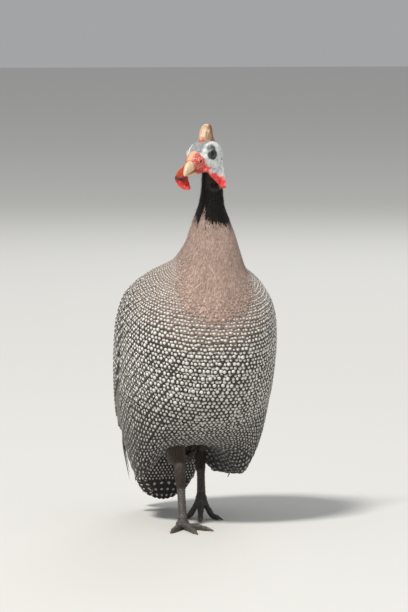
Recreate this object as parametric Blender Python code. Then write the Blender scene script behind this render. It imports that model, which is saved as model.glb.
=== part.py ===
"""A helmeted guinea fowl, life size and still, walking with its head turned to its right.

Units are metres. +Z is up, the bird faces -Y, and its left side is +X. The body is one
long loft from the throat to the vent, parted into lengths. Every other piece stops a thin
gap short of the pieces it meets.
"""

import math

import bmesh
import bpy
from mathutils import Matrix, Vector

# Driving sizes of the bird
GAP = 0.0004
ORIGIN = Vector((-0.0032, 0.0153, 0.0))
HEAD_PLACE = Vector((-0.0168, -0.0937, 0.4790))
HEAD_TURN = math.radians(48)
HEAD_DROP = math.radians(10)
EYE_RADIUS = 0.0066
EYE_SIDE = 0.0131
WING_DEPTH = 0.008
WATTLE_THICK = 0.0018
WATTLE_LENGTH = 0.0290
WATTLE_BREADTH = 0.0215
WATTLE_CUP = 0.0026
FEATHER_BLUNT = 2.25

# The body's stations, from the throat to the vent. Each row holds the back point (y, z),
# the front point (y, z), the half width and the sideways shift of one cross-section.
BODY = (
    (-0.0660, 0.4690, -0.0960, 0.4600, 0.0122, 0.0000),
    (-0.0700, 0.4430, -0.1000, 0.4350, 0.0130, -0.0005),
    (-0.0680, 0.4200, -0.1020, 0.4100, 0.0158, -0.0010),
    (-0.0600, 0.4020, -0.1040, 0.3900, 0.0222, 0.0000),
    (-0.0480, 0.3850, -0.1070, 0.3680, 0.0292, 0.0015),
    (-0.0320, 0.3670, -0.1100, 0.3440, 0.0362, 0.0025),
    (-0.0080, 0.3475, -0.1140, 0.3180, 0.0490, 0.0010),
    (0.0220, 0.3335, -0.1200, 0.2880, 0.0770, -0.0015),
    (0.0550, 0.3180, -0.1230, 0.2520, 0.0950, -0.0030),
    (0.0850, 0.2900, -0.1200, 0.2120, 0.1015, -0.0035),
    (0.1080, 0.2530, -0.1080, 0.1720, 0.1015, -0.0025),
    (0.1250, 0.2140, -0.0860, 0.1360, 0.0990, -0.0010),
    (0.1350, 0.1760, -0.0560, 0.1120, 0.0940, -0.0005),
    (0.1400, 0.1460, -0.0200, 0.1020, 0.0855, -0.0015),
    (0.1410, 0.1240, 0.0200, 0.1020, 0.0730, -0.0025),
    (0.1380, 0.1120, 0.0580, 0.1040, 0.0560, -0.0030),
    (0.1280, 0.1080, 0.0900, 0.1050, 0.0280, -0.0030),
)
BODY_SIDES = 24
TRUNK_RINGS = 17
NECK_CUT = 3.35
COLLAR_CUT = 6.1
BODY_END = 16.0
CUT_STEP = 0.012
FLANK_DROP = 0.052
FLANK_FROM = 11.0
FLANK_PLACE = 0.98
FLANK_WIDTH = 0.46

# Head stations along the bill's direction: place, top, underside and half width.
HEAD = (
    (-0.0330, -0.0020, -0.0210, 0.0060),
    (-0.0295, 0.0070, -0.0255, 0.0125),
    (-0.0210, 0.0130, -0.0275, 0.0166),
    (-0.0110, 0.0155, -0.0268, 0.0184),
    (-0.0010, 0.0150, -0.0245, 0.0186),
    (0.0060, 0.0120, -0.0215, 0.0165),
    (0.0120, 0.0075, -0.0200, 0.0130),
    (0.0170, 0.0035, -0.0190, 0.0100),
    (0.0195, 0.0000, -0.0175, 0.0070),
)

# Casque stations up the horn: height, place along the head, half length, half width.
CASQUE = (
    (0.0080, -0.0140, 0.0165, 0.0094),
    (0.0130, -0.0138, 0.0147, 0.0080),
    (0.0185, -0.0140, 0.0127, 0.0070),
    (0.0240, -0.0148, 0.0112, 0.0064),
    (0.0290, -0.0160, 0.0096, 0.0056),
    (0.0325, -0.0172, 0.0068, 0.0042),
    (0.0344, -0.0180, 0.0030, 0.0020),
)

# Bill stations: place, height, half height and half width.
UPPER_BILL = (
    (0.0100, -0.0080, 0.0085, 0.0092),
    (0.0190, -0.0086, 0.0082, 0.0082),
    (0.0270, -0.0110, 0.0068, 0.0068),
    (0.0330, -0.0142, 0.0047, 0.0050),
    (0.0368, -0.0172, 0.0028, 0.0031),
    (0.0388, -0.0196, 0.0010, 0.0011),
)
LOWER_BILL = (
    (0.0060, -0.0200, 0.0033, 0.0088),
    (0.0170, -0.0200, 0.0030, 0.0074),
    (0.0270, -0.0202, 0.0024, 0.0052),
    (0.0330, -0.0206, 0.0014, 0.0024),
)
CERE = (
    (0.0110, -0.0040, 0.0112, 0.0128),
    (0.0160, -0.0050, 0.0104, 0.0114),
    (0.0210, -0.0066, 0.0092, 0.0098),
    (0.0256, -0.0088, 0.0073, 0.0079),
)

# Wattles: the left one is swept back along the throat, the right one stands off it.
SWEPT = {"root": (0.0050, 0.0140, -0.0165), "lean": 0.46, "flare": 0.24,
         "splay": 0.003, "bulge": 0.001, "curl": 0.0}
STANDING = {"root": (0.0060, 0.0115, -0.0165), "lean": -0.08, "flare": 0.27,
            "splay": 0.0, "bulge": 0.011, "curl": 0.005}

# The folded wing's outline seen from the side, as (y, z), from the wrist round the back.
WING_OUTLINE = (
    (-0.048, 0.292), (-0.030, 0.305), (0.010, 0.311), (0.055, 0.293), (0.095, 0.256),
    (0.120, 0.212), (0.132, 0.160), (0.126, 0.112), (0.104, 0.080), (0.078, 0.070),
    (0.060, 0.082), (0.040, 0.110), (0.018, 0.150), (-0.006, 0.200), (-0.030, 0.252),
)
WING_INNER, WING_LEAN, WING_MIDDLE = 0.026, 0.30, 0.250
# Stations of the long flight feathers: x, y, z, half width, half thickness.
FLIGHT = (
    (0.0830, 0.0560, 0.1300, 0.0150, 0.0030),
    (0.0835, 0.0720, 0.1020, 0.0140, 0.0028),
    (0.0780, 0.0880, 0.0740, 0.0110, 0.0022),
    (0.0710, 0.1000, 0.0500, 0.0060, 0.0014),
)

# Tail stations down the fan: y, z, half width, half thickness.
TAIL = (
    (0.1000, 0.1900, 0.0340, 0.0260),
    (0.1200, 0.1480, 0.0420, 0.0250),
    (0.1340, 0.1060, 0.0460, 0.0195),
    (0.1400, 0.0680, 0.0450, 0.0135),
    (0.1420, 0.0360, 0.0400, 0.0085),
    (0.1410, 0.0090, 0.0220, 0.0032),
)
TAIL_SIDEWAYS = -0.010

# Legs: the right foot is forward and flat, the left one behind with its heel raised.
# Each thigh and shank row holds x, y, z and radius.
THIGHS = {
    "right": ((-0.044, 0.000, 0.155, 0.026), (-0.038, -0.014, 0.122, 0.022),
              (-0.033, -0.027, 0.096, 0.0125), (-0.0305, -0.0335, 0.0805, 0.0082)),
    "left": ((0.044, 0.010, 0.160, 0.026), (0.036, 0.036, 0.125, 0.021),
             (0.027, 0.060, 0.099, 0.0125), (0.0236, 0.0700, 0.0862, 0.0082)),
}
SHANKS = {
    "right": ((-0.0305, -0.0345, 0.0800, 0.0078), (-0.0307, -0.0385, 0.0700, 0.0070),
              (-0.0311, -0.0460, 0.0450, 0.0052), (-0.0317, -0.0540, 0.0200, 0.0054),
              (-0.0320, -0.0575, 0.0100, 0.0060)),
    "left": ((0.0232, 0.0718, 0.0845, 0.0078), (0.0225, 0.0680, 0.0745, 0.0070),
             (0.0208, 0.0575, 0.0540, 0.0052), (0.0185, 0.0465, 0.0340, 0.0054),
             (0.0175, 0.0425, 0.0270, 0.0060)),
}
FOOT_TURN = {"right": math.radians(4), "left": math.radians(-16)}
FOOT_RADIUS = 0.0092
SOLE_HEIGHT = 0.0026
# Toe: angle from straight ahead (positive outwards), length, radius at base and at tip.
TOES = {
    "middle": (0, 0.046, 0.0046, 0.0032),
    "outer": (36, 0.036, 0.0043, 0.0030),
    "inner": (-36, 0.034, 0.0043, 0.0030),
}
CLAW_LENGTH = 0.0115
HALLUX_LENGTH = 0.012
TOE_SIDES = 8


def clear_scene():
    """Remove whatever the scene holds before the bird is made."""
    for item in list(bpy.data.objects):
        bpy.data.objects.remove(item, do_unlink=True)


def material(name, colour, roughness):
    """A plain finish for one kind of surface."""
    made = bpy.data.materials.new(name)
    made.use_nodes = True
    shader = made.node_tree.nodes["Principled BSDF"]
    shader.inputs["Base Color"].default_value = (*colour, 1.0)
    shader.inputs["Roughness"].default_value = roughness
    shader.inputs["Metallic"].default_value = 0.0
    return made


def smooth_row(table, t):
    """The row at place t of a table, by a Catmull-Rom curve through the table's rows."""
    last = len(table) - 1
    t = min(max(t, 0.0), float(last))
    i = min(int(t), last - 1)
    f = t - i
    a, b, c, d = (table[min(max(k, 0), last)] for k in (i - 1, i, i + 1, i + 2))
    return tuple(
        q + 0.5 * f * (r - p + f * (2 * p - 5 * q + 4 * r - s + f * (3 * (q - r) + s - p)))
        for p, q, r, s in zip(a, b, c, d)
    )


def steps(start, end, count):
    """Evenly spaced numbers from start to end."""
    return [start + (end - start) * k / (count - 1) for k in range(count)]


def blunt(x, power):
    """x with its size raised to power and its sign kept, which squares off a round section."""
    return math.copysign(abs(x) ** power, x)


def new_object(name, mesh_in_hand, finish):
    """An object from a bmesh, facing outwards and shaded smooth. It is cut into triangles
    here, so that its cutters fold along the same lines as it does."""
    bmesh.ops.recalc_face_normals(mesh_in_hand, faces=mesh_in_hand.faces)
    bmesh.ops.triangulate(mesh_in_hand, faces=mesh_in_hand.faces)
    mesh = bpy.data.meshes.new(name)
    mesh_in_hand.to_mesh(mesh)
    mesh_in_hand.free()
    mesh.materials.append(finish)
    mesh.shade_smooth()
    mesh.set_sharp_from_angle(angle=math.radians(50))
    made = bpy.data.objects.new(name, mesh)
    bpy.context.scene.collection.objects.link(made)
    return made


def loft(name, rings, finish):
    """A closed skin through rings of points, with a flat cap on each end."""
    shape = bmesh.new()
    loops = [[shape.verts.new(p) for p in ring] for ring in rings]
    count = len(loops[0])
    for near, far in zip(loops, loops[1:]):
        for k in range(count):
            n = (k + 1) % count
            shape.faces.new((near[k], near[n], far[n], far[k]))
    shape.faces.new(loops[0])
    shape.faces.new(list(reversed(loops[-1])))
    return new_object(name, shape, finish)


def tube_rings(rows, count, sides, flat_at=None):
    """Round rings along a path of (x, y, z, radius) rows, cut off flat at a floor height."""
    places = steps(0, len(rows) - 1, count)
    rings = []
    for t in places:
        x, y, z, radius = smooth_row(rows, t)
        ahead = Vector(smooth_row(rows, t + 0.05)[:3]) - Vector(smooth_row(rows, t - 0.05)[:3])
        side = ahead.cross(Vector((0, 0, 1)))
        if side.length < 1e-6 * ahead.length:
            side = Vector((1, 0, 0))
        side.normalize()
        up = side.cross(ahead).normalized()
        ring = []
        for k in range(sides):
            turn = 2 * math.pi * (k + 0.5) / sides
            p = Vector((x, y, z)) + radius * (math.cos(turn) * side + math.sin(turn) * up)
            if flat_at is not None:
                p.z = max(p.z, flat_at)
            ring.append(p)
        rings.append(ring)
    return rings


def grown(source, by):
    """A hidden copy of a piece, swollen along its normals, which serves as a cutter."""
    copy = bpy.data.objects.new(source.name + "_cutter", source.data.copy())
    bpy.context.scene.collection.objects.link(copy)
    copy.hide_render = True
    copy.display_type = "WIRE"
    swell = copy.modifiers.new("swell", "DISPLACE")
    swell.strength = by
    swell.mid_level = 0.0
    return copy


def combine(target, other, operation):
    """A live Boolean of target with other."""
    change = target.modifiers.new(operation.lower(), "BOOLEAN")
    change.operation = operation
    change.solver = "EXACT"
    change.object = other


def stop_short(piece, *neighbours):
    """Cut a piece back to a thin gap from each of its neighbours."""
    for neighbour in neighbours:
        combine(piece, grown(neighbour, GAP), "DIFFERENCE")


def body_ring(t, grow=0.0):
    """One cross-section of the body at station t: a squared-off ellipse between its back
    and front points. Low on the body the flank feathers hang down on either side."""
    back_y, back_z, front_y, front_z, width, shift = smooth_row(BODY, t)
    back, front = Vector((shift, back_y, back_z)), Vector((shift, front_y, front_z))
    middle, reach = (back + front) / 2, (back - front) / 2
    reach += reach.normalized() * grow
    width += grow
    power = 2 / FEATHER_BLUNT
    low = min(max((t - FLANK_FROM) / 2.2, 0.0), 1.0, (BODY_END + 0.7 - t) / 1.6)
    ring = []
    for k in range(BODY_SIDES):
        turn = 2 * math.pi * k / BODY_SIDES
        from_flank = (abs(turn - math.pi) - FLANK_PLACE) / FLANK_WIDTH
        drop = FLANK_DROP * low * math.exp(-from_flank ** 2)
        ring.append(middle + blunt(math.cos(turn), power) * reach
                    + Vector((blunt(math.sin(turn), power) * width, 0, -drop)))
    return ring


def body_length(name, start, end, count, finish, grow=0.0):
    """A length of the body between two stations."""
    return loft(name, [body_ring(t, grow) for t in steps(start, end, count)], finish)


def head_matrix():
    """Places the head's own axes (+X left, -Y along the bill, +Z up) in the bird's."""
    turn = Matrix.Rotation(-HEAD_TURN, 4, "Z")
    drop = Matrix.Rotation(HEAD_DROP, 4, "X")
    return Matrix.Translation(HEAD_PLACE) @ turn @ drop


def in_head(along, side, up):
    """A point in the bird's frame from distances along the bill, to the left and up."""
    return head_matrix() @ Vector((side, -along, up))


def head_loft(name, rows, count, sides, finish, power=1.0):
    """A loft along the head. Each row holds place, top, underside and half width."""
    rings = []
    for t in steps(0, len(rows) - 1, count):
        along, top, under, width = smooth_row(rows, t)
        middle, half = (top + under) / 2, (top - under) / 2
        rings.append([
            in_head(along, width * blunt(math.sin(a), power), middle + half * blunt(math.cos(a), power))
            for a in (2 * math.pi * k / sides for k in range(sides))
        ])
    return loft(name, rings, finish)


def bill_loft(name, rows, count, sides, finish):
    """A loft along a bent path in the head's midplane, with rings square to the path."""
    rings = []
    for t in steps(0, len(rows) - 1, count):
        along, up, high, wide = smooth_row(rows, t)
        before, after = smooth_row(rows, t - 0.1), smooth_row(rows, t + 0.1)
        slope = math.atan2(after[1] - before[1], after[0] - before[0])
        ring = []
        for k in range(sides):
            a = 2 * math.pi * k / sides
            rise = high * math.cos(a)
            ring.append(in_head(along - rise * math.sin(slope), wide * math.sin(a),
                                up + rise * math.cos(slope)))
        rings.append(ring)
    return loft(name, rings, finish)


def casque(finish):
    """The horny helmet: oval rings stacked up the crown, each further back than the last."""
    rings = []
    for t in steps(0, len(CASQUE) - 1, 8):
        up, along, length, width = smooth_row(CASQUE, t)
        rings.append([
            in_head(along + length * math.cos(a), width * math.sin(a), up)
            for a in (2 * math.pi * k / 12 for k in range(12))
        ])
    return loft("casque", rings, finish)


def eye(side_name, side, finish):
    """A round eyeball set into the side of the head."""
    ball = bmesh.new()
    bmesh.ops.create_uvsphere(ball, u_segments=12, v_segments=8, radius=EYE_RADIUS)
    place = in_head(0.0, side * EYE_SIDE, -0.0005)
    bmesh.ops.transform(ball, matrix=Matrix.Translation(place), verts=ball.verts)
    return new_object(f"eye_{side_name}", ball, finish)


def wattle(side_name, side, shape, finish):
    """A cupped leaf of skin that hangs from the corner of the mouth. Its outline is a
    rounded base that narrows to a blunt tip, and its rims curl up and out."""
    along, out, up = shape["root"]
    leaf = bmesh.new()
    bmesh.ops.create_grid(leaf, x_segments=7, y_segments=7, size=0.5)
    for vert in leaf.verts:
        u, v = vert.co.x * 2, min(max(0.5 - vert.co.y, 0.0), 1.0)
        half = 0.5 * WATTLE_BREADTH * (1 - v ** 2.2) ** 0.6 + 0.0022
        ahead = along - shape["lean"] * v ** 1.6 * WATTLE_LENGTH + u * half
        away = out + shape["flare"] * v * WATTLE_LENGTH + shape["bulge"] * math.sin(math.pi * v)
        away += WATTLE_CUP * u * u - shape["splay"] * u
        height = up - v * WATTLE_LENGTH + shape["curl"] * u * u * (1 - 0.6 * v)
        vert.co = in_head(ahead, side * away, height)
    made = new_object(f"wattle_{side_name}", leaf, finish)
    wall = made.modifiers.new("thickness", "SOLIDIFY")
    wall.thickness = WATTLE_THICK
    wall.offset = 0.0
    return made


def wing_slab(name, side, swell):
    """A hidden block with the folded wing's outline, which runs out sideways from the body.
    Its inner face leans, so that it stays clear of the belly."""
    centre = Vector((0, *[sum(p[k] for p in WING_OUTLINE) / len(WING_OUTLINE) for k in (0, 1)]))
    inner, outer = [], []
    for y, z in WING_OUTLINE:
        away = Vector((0, y, z)) - centre
        corner = centre + away + away.normalized() * swell
        start = WING_INNER + WING_LEAN * (WING_MIDDLE - corner.z) - swell
        inner.append(Vector((side * start, corner.y, corner.z)))
        outer.append(Vector((side * 0.150, corner.y, corner.z)))
    slab = loft(name, [inner, outer], bpy.data.materials["flesh"])
    slab.hide_render = True
    slab.display_type = "WIRE"
    return slab


def hidden_body(name, grow):
    """A hidden copy of the trunk, thinner or thicker all round, for cutting the wings free."""
    made = body_length(name, COLLAR_CUT, BODY_END, TRUNK_RINGS, bpy.data.materials["flesh"], grow)
    made.hide_render = True
    made.display_type = "WIRE"
    return made


def folded_wing(side_name, side, finish):
    """The folded wing: the body's outer layer inside the wing's outline."""
    wing = body_length(f"wing_{side_name}", COLLAR_CUT, BODY_END, TRUNK_RINGS, finish)
    combine(wing, wing_slab(f"wing_outline_{side_name}", side, 0.0), "INTERSECT")
    combine(wing, hidden_body(f"wing_lining_{side_name}", -WING_DEPTH), "DIFFERENCE")
    return wing


def make_room_for_wing(trunk, side_name, side):
    """Take the wing's layer and a thin gap round it off the trunk."""
    room = wing_slab(f"wing_room_{side_name}", side, GAP)
    combine(room, hidden_body(f"wing_bed_{side_name}", -WING_DEPTH - GAP), "DIFFERENCE")
    combine(trunk, room, "DIFFERENCE")


def flight_feathers(side_name, side, finish):
    """The long flight feathers that stick out below the folded wing, as one thin blade."""
    rings = []
    for t in steps(0, len(FLIGHT) - 1, 8):
        x, y, z, half, thick = smooth_row(FLIGHT, t)
        along = Vector(smooth_row(FLIGHT, t + 0.1)[:3]) - Vector(smooth_row(FLIGHT, t - 0.1)[:3])
        out = Vector((1, 0, 0))
        across = along.cross(out).normalized()
        out = across.cross(along).normalized()
        ring = []
        for k in range(10):
            a = 2 * math.pi * k / 10
            p = Vector((x, y, z)) + across * half * math.cos(a) + out * thick * math.sin(a)
            ring.append(Vector((side * p.x, p.y, p.z)))
        rings.append(ring)
    return loft(f"flight_feathers_{side_name}", rings, finish)


def tail(finish):
    """The drooping tail with its long coverts, a flattened fan that hangs almost straight down."""
    rings = []
    for t in steps(0, len(TAIL) - 1, 8):
        y, z, width, thick = smooth_row(TAIL, t)
        before, after = smooth_row(TAIL, t - 0.1), smooth_row(TAIL, t + 0.1)
        out = Vector((0, before[1] - after[1], after[0] - before[0])).normalized()
        side = TAIL_SIDEWAYS * t / (len(TAIL) - 1)
        rings.append([
            Vector((side + width * math.sin(a), y, z)) + out * thick * blunt(math.cos(a), 0.8)
            for a in (2 * math.pi * k / 14 for k in range(14))
        ])
    return loft("tail", rings, finish)


def foot_frame(side_name):
    """The foot's centre, and its forward direction on the floor."""
    x, y, z, _ = SHANKS[side_name][-1]
    turn = FOOT_TURN[side_name]
    return Vector((x, y, z)), Vector((math.sin(turn), -math.cos(turn), 0))


def foot_pad(side_name, finish):
    """The fleshy pad where the toes meet, flattened where it stands on the floor."""
    centre, ahead = foot_frame(side_name)
    raised = side_name == "left"
    ball = bmesh.new()
    bmesh.ops.create_uvsphere(ball, u_segments=10, v_segments=7, radius=1.0)
    tilt = Matrix.Rotation(math.radians(38 if raised else 0), 4, Vector((ahead.y, -ahead.x, 0)))
    height = centre.z - 0.0025 if raised else 0.0056
    shape = Matrix.Diagonal((FOOT_RADIUS, FOOT_RADIUS, 0.0066, 1.0))
    place = Matrix.Translation(Vector((centre.x, centre.y, height))) @ tilt @ shape
    bmesh.ops.transform(ball, matrix=place, verts=ball.verts)
    for vert in ball.verts:
        vert.co.z = max(vert.co.z, 0.0)
    return new_object(f"foot_{side_name}", ball, finish)


def toe_rows(side_name, angle, length, base, tip):
    """The path of one toe: along the floor, or down to it from a raised foot."""
    centre, ahead = foot_frame(side_name)
    outwards = 1 if side_name == "left" else -1
    turn = Matrix.Rotation(math.radians(angle) * outwards, 3, "Z")
    away = turn @ ahead
    start_height = SOLE_HEIGHT + 0.0012 if side_name == "right" else centre.z - 0.003
    rows = []
    for share in steps(0, 1, 6):
        distance = 0.004 + share * length
        drop = max(1 - share / 0.62, 0.0) ** 1.25
        arch = 0.0016 * math.sin(math.pi * min(share * 1.1, 1.0))
        height = SOLE_HEIGHT + (start_height - SOLE_HEIGHT) * drop + arch * (1 - drop)
        place = centre + away * distance
        rows.append((place.x, place.y, height, base + (tip - base) * share))
    return rows, away


def toe(side_name, toe_name, finish):
    """One front toe, a tapered tube with knuckles and a flat sole."""
    angle, length, base, tip = TOES[toe_name]
    rows, _ = toe_rows(side_name, angle, length, base, tip)
    return loft(f"toe_{toe_name}_{side_name}", tube_rings(rows, 8, TOE_SIDES, 0.0), finish)


def claw(side_name, toe_name, finish):
    """The claw at a toe's tip: a curved cone that points down to the floor."""
    angle, length, base, tip = TOES[toe_name]
    rows, away = toe_rows(side_name, angle, length, base, tip)
    x, y, z, radius = rows[-1]
    path = []
    for share in steps(0, 1, 4):
        reach = CLAW_LENGTH * share - 0.0015
        path.append((x + away.x * reach, y + away.y * reach,
                     z + 0.0003 - 0.0016 * share ** 2, radius * (0.86 - 0.62 * share)))
    return loft(f"claw_{toe_name}_{side_name}", tube_rings(path, 5, 6, 0.0), finish)


def hallux(side_name, finish, claw_finish):
    """The short hind toe above the heel, and its claw."""
    x, y, z, _ = smooth_row(SHANKS[side_name], 3.35)
    _, ahead = foot_frame(side_name)
    inwards = -1 if side_name == "left" else 1
    away = (Vector((inwards * 0.35, 0, 0)) - ahead).normalized()
    toe_path, claw_path = [], []
    for share in steps(0, 1, 4):
        reach = 0.003 + HALLUX_LENGTH * share
        drop = 0.0055 * share ** 1.5
        toe_path.append((x + away.x * reach, y + away.y * reach, z - drop, 0.0034 - 0.0009 * share))
    ex, ey, ez, end = toe_path[-1]
    for share in steps(0, 1, 4):
        reach = 0.0070 * share - 0.001
        claw_path.append((ex + away.x * reach, ey + away.y * reach,
                          ez - 0.0026 * share, end * (0.86 - 0.62 * share)))
    hind = loft(f"toe_hind_{side_name}", tube_rings(toe_path, 5, 7), finish)
    nail = loft(f"claw_hind_{side_name}", tube_rings(claw_path, 4, 6), claw_finish)
    return hind, nail


def leg(side_name, trunk, finishes):
    """A whole leg: feathered thigh, scaly shank, foot, toes and claws."""
    thigh = loft(f"thigh_{side_name}", tube_rings(THIGHS[side_name], 7, 12), finishes["flesh"])
    shank = loft(f"shank_{side_name}", tube_rings(SHANKS[side_name], 8, 10), finishes["scale"])
    pad = foot_pad(side_name, finishes["scale"])
    stop_short(thigh, trunk)
    stop_short(shank, thigh, pad, trunk)
    hind, nail = hallux(side_name, finishes["scale"], finishes["claw"])
    stop_short(hind, shank, pad)
    stop_short(nail, hind)
    middle = toe(side_name, "middle", finishes["scale"])
    stop_short(middle, pad, shank)
    for toe_name in ("outer", "inner"):
        stop_short(toe(side_name, toe_name, finishes["scale"]), pad, shank, middle)
    for toe_name in TOES:
        stop_short(claw(side_name, toe_name, finishes["claw"]),
                   bpy.data.objects[f"toe_{toe_name}_{side_name}"])


def bird():
    """All of the bird's pieces, each stopped short of its neighbours."""
    finishes = {
        "flesh": material("flesh", (0.08, 0.08, 0.075), 0.8),
        "collar": material("collar", (0.42, 0.31, 0.27), 0.8),
        "face": material("face", (0.62, 0.66, 0.68), 0.5),
        "horn": material("horn", (0.60, 0.38, 0.22), 0.45),
        "bill": material("bill", (0.70, 0.52, 0.33), 0.35),
        "red": material("red", (0.65, 0.05, 0.04), 0.45),
        "eye": material("eye", (0.02, 0.015, 0.012), 0.08),
        "scale": material("scale", (0.11, 0.09, 0.08), 0.5),
        "claw": material("claw", (0.20, 0.15, 0.10), 0.4),
        "flight": material("flight", (0.22, 0.17, 0.12), 0.7),
    }
    trunk_shape = body_length("trunk", COLLAR_CUT + CUT_STEP, BODY_END, TRUNK_RINGS, finishes["flesh"])
    collar = body_length("neck_lower", NECK_CUT + CUT_STEP, COLLAR_CUT - CUT_STEP, 5, finishes["collar"])
    throat = body_length("neck_upper", 0.0, NECK_CUT - CUT_STEP, 6, finishes["flesh"])
    for side_name, side in (("left", 1), ("right", -1)):
        leg(side_name, trunk_shape, finishes)
    fan = tail(finishes["flesh"])
    stop_short(fan, trunk_shape)
    for side_name, side in (("left", 1), ("right", -1)):
        blade = flight_feathers(side_name, side, finishes["flight"])
        stop_short(blade, trunk_shape, fan)
        folded_wing(side_name, side, finishes["flesh"])
        make_room_for_wing(trunk_shape, side_name, side)

    head = head_loft("head", HEAD, 12, 16, finishes["face"], 0.84)
    upper = bill_loft("bill_upper", UPPER_BILL, 9, 12, finishes["bill"])
    lower = bill_loft("bill_lower", LOWER_BILL, 6, 10, finishes["bill"])
    cere = bill_loft("cere", CERE, 5, 12, finishes["red"])
    helmet = casque(finishes["horn"])
    eyes = [eye("left", 1, finishes["eye"]), eye("right", -1, finishes["eye"])]
    flaps = [wattle("left", 1, SWEPT, finishes["red"]), wattle("right", -1, STANDING, finishes["red"])]
    stop_short(head, *eyes, upper, lower)
    stop_short(cere, head, upper)
    stop_short(lower, upper)
    stop_short(helmet, head)
    stop_short(throat, head)
    for flap in flaps:
        stop_short(flap, head)


def centre_on_origin():
    """Move the bird so that the middle of its footprint is at the origin."""
    for item in bpy.data.objects:
        item.location -= ORIGIN


clear_scene()
bird()
centre_on_origin()
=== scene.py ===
# %% [markdown]
# # A helmeted guinea fowl, life size
# This file dresses the plain solids of a guinea fowl model with skin, horn, feathers and
# scales. The bird strides with its right foot flat and looks to its right. Every shape is
# worked out from small tables of sizes, so each cell can be read and changed on its own.

# %% Load the plain solids
import math

import bpy
import numpy as np
from mathutils import Matrix, Vector


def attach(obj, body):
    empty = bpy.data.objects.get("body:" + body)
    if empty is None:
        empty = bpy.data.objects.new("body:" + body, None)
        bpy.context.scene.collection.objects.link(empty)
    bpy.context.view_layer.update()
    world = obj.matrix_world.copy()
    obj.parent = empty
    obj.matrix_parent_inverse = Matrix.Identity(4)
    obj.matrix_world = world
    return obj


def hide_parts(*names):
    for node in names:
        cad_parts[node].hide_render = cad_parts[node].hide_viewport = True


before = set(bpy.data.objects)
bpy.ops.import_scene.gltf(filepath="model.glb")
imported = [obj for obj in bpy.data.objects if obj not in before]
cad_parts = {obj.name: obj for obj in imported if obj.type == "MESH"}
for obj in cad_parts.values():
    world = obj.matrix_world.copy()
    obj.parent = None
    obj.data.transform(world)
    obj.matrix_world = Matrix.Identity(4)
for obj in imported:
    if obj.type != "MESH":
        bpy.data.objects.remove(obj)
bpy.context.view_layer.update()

# %% [markdown]
# ## Camera, floor and light
# The photo was taken from far off with a long lens, a little to one side and from above
# the bird's head, so lines hardly converge. A camera 4.5 m away with a 206 mm lens gives
# the same view. One large soft lamp high on the camera's left plays the sun, and a pale
# surround fills the shadows, as in a studio.

# %% Camera
VIEW_TURN = math.radians(14.0)
VIEW_AIM = math.radians(14.2164)
VIEW_DROP = math.radians(4.707)
VIEW_DISTANCE = 4.515
VIEW_HEIGHT = 0.65
LENS = 206.47

lens = bpy.data.cameras.new("view")
lens.lens = LENS
lens.sensor_width = 36.0
lens.clip_start, lens.clip_end = 0.1, 100.0
camera = bpy.data.objects.new("view", lens)
bpy.context.scene.collection.objects.link(camera)
camera.location = (-VIEW_DISTANCE * math.sin(VIEW_TURN), -VIEW_DISTANCE * math.cos(VIEW_TURN), VIEW_HEIGHT)
aim = Vector((math.sin(VIEW_AIM) * math.cos(VIEW_DROP), math.cos(VIEW_AIM) * math.cos(VIEW_DROP),
              -math.sin(VIEW_DROP)))
camera.rotation_mode = "QUATERNION"
camera.rotation_quaternion = aim.to_track_quat("-Z", "Y")
bpy.context.scene.camera = camera


# %% Floor and lights
def paint(red, green, blue):
    """A screen colour from 0 to 255 a channel, turned into the linear light a shader wants."""
    share = np.array([red, green, blue]) / 255.0
    linear = np.where(share <= 0.04045, share / 12.92, ((share + 0.055) / 1.055) ** 2.4)
    return (*linear.tolist(), 1.0)


def soft_lamp(name, place, target, size, power, tint=(1.0, 1.0, 1.0)):
    """A square lamp at a place, turned to a target."""
    data = bpy.data.lights.new(name, "AREA")
    data.size, data.energy, data.color = size, power, tint
    lamp = bpy.data.objects.new(name, data)
    bpy.context.scene.collection.objects.link(lamp)
    lamp.location = place
    lamp.rotation_mode = "QUATERNION"
    lamp.rotation_quaternion = (Vector(target) - Vector(place)).to_track_quat("-Z", "Y")


MIDDLE = (0.0, 0.0, 0.28)
soft_lamp("key", (-4.7, -3.9, 8.8), MIDDLE, 1.6, 950.0, (1.0, 0.965, 0.91))
soft_lamp("fill", (3.0, -6.0, 1.6), MIDDLE, 3.0, 20.0, (0.93, 0.96, 1.0))
soft_lamp("rim", (2.4, 5.0, 3.6), MIDDLE, 2.4, 60.0)
bpy.context.scene.view_settings.view_transform = "Standard"

world = bpy.data.worlds.new("surround")
world.use_nodes = True
surround = world.node_tree.nodes["Background"].inputs
surround["Color"].default_value = (0.90, 0.91, 0.92, 1.0)
surround["Strength"].default_value = 0.41
bpy.context.scene.world = world

floor_mesh = bpy.data.meshes.new("floor")
FLOOR_HALF = 40
corners = [(-FLOOR_HALF, -FLOOR_HALF, 0), (FLOOR_HALF, -FLOOR_HALF, 0), (FLOOR_HALF, FLOOR_HALF, 0),
           (-FLOOR_HALF, FLOOR_HALF, 0)]
floor_mesh.from_pydata(corners, [], [(0, 1, 2, 3)])
floor = bpy.data.objects.new("floor", floor_mesh)
bpy.context.scene.collection.objects.link(floor)
floor_finish = bpy.data.materials.new("pale_floor")
floor_finish.use_nodes = True
floor_sockets = floor_finish.node_tree.nodes["Principled BSDF"].inputs
floor_sockets["Base Color"].default_value = paint(226, 226, 223)
floor_sockets["Roughness"].default_value = 0.9
floor_mesh.materials.append(floor_finish)

# %% [markdown]
# ## Sizes of the bird
# These tables hold the same sizes as the plain solids do. The body is a stack of squared-off
# ovals from the throat to the vent, and a smooth curve through the rows gives any oval
# between them.

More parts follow.
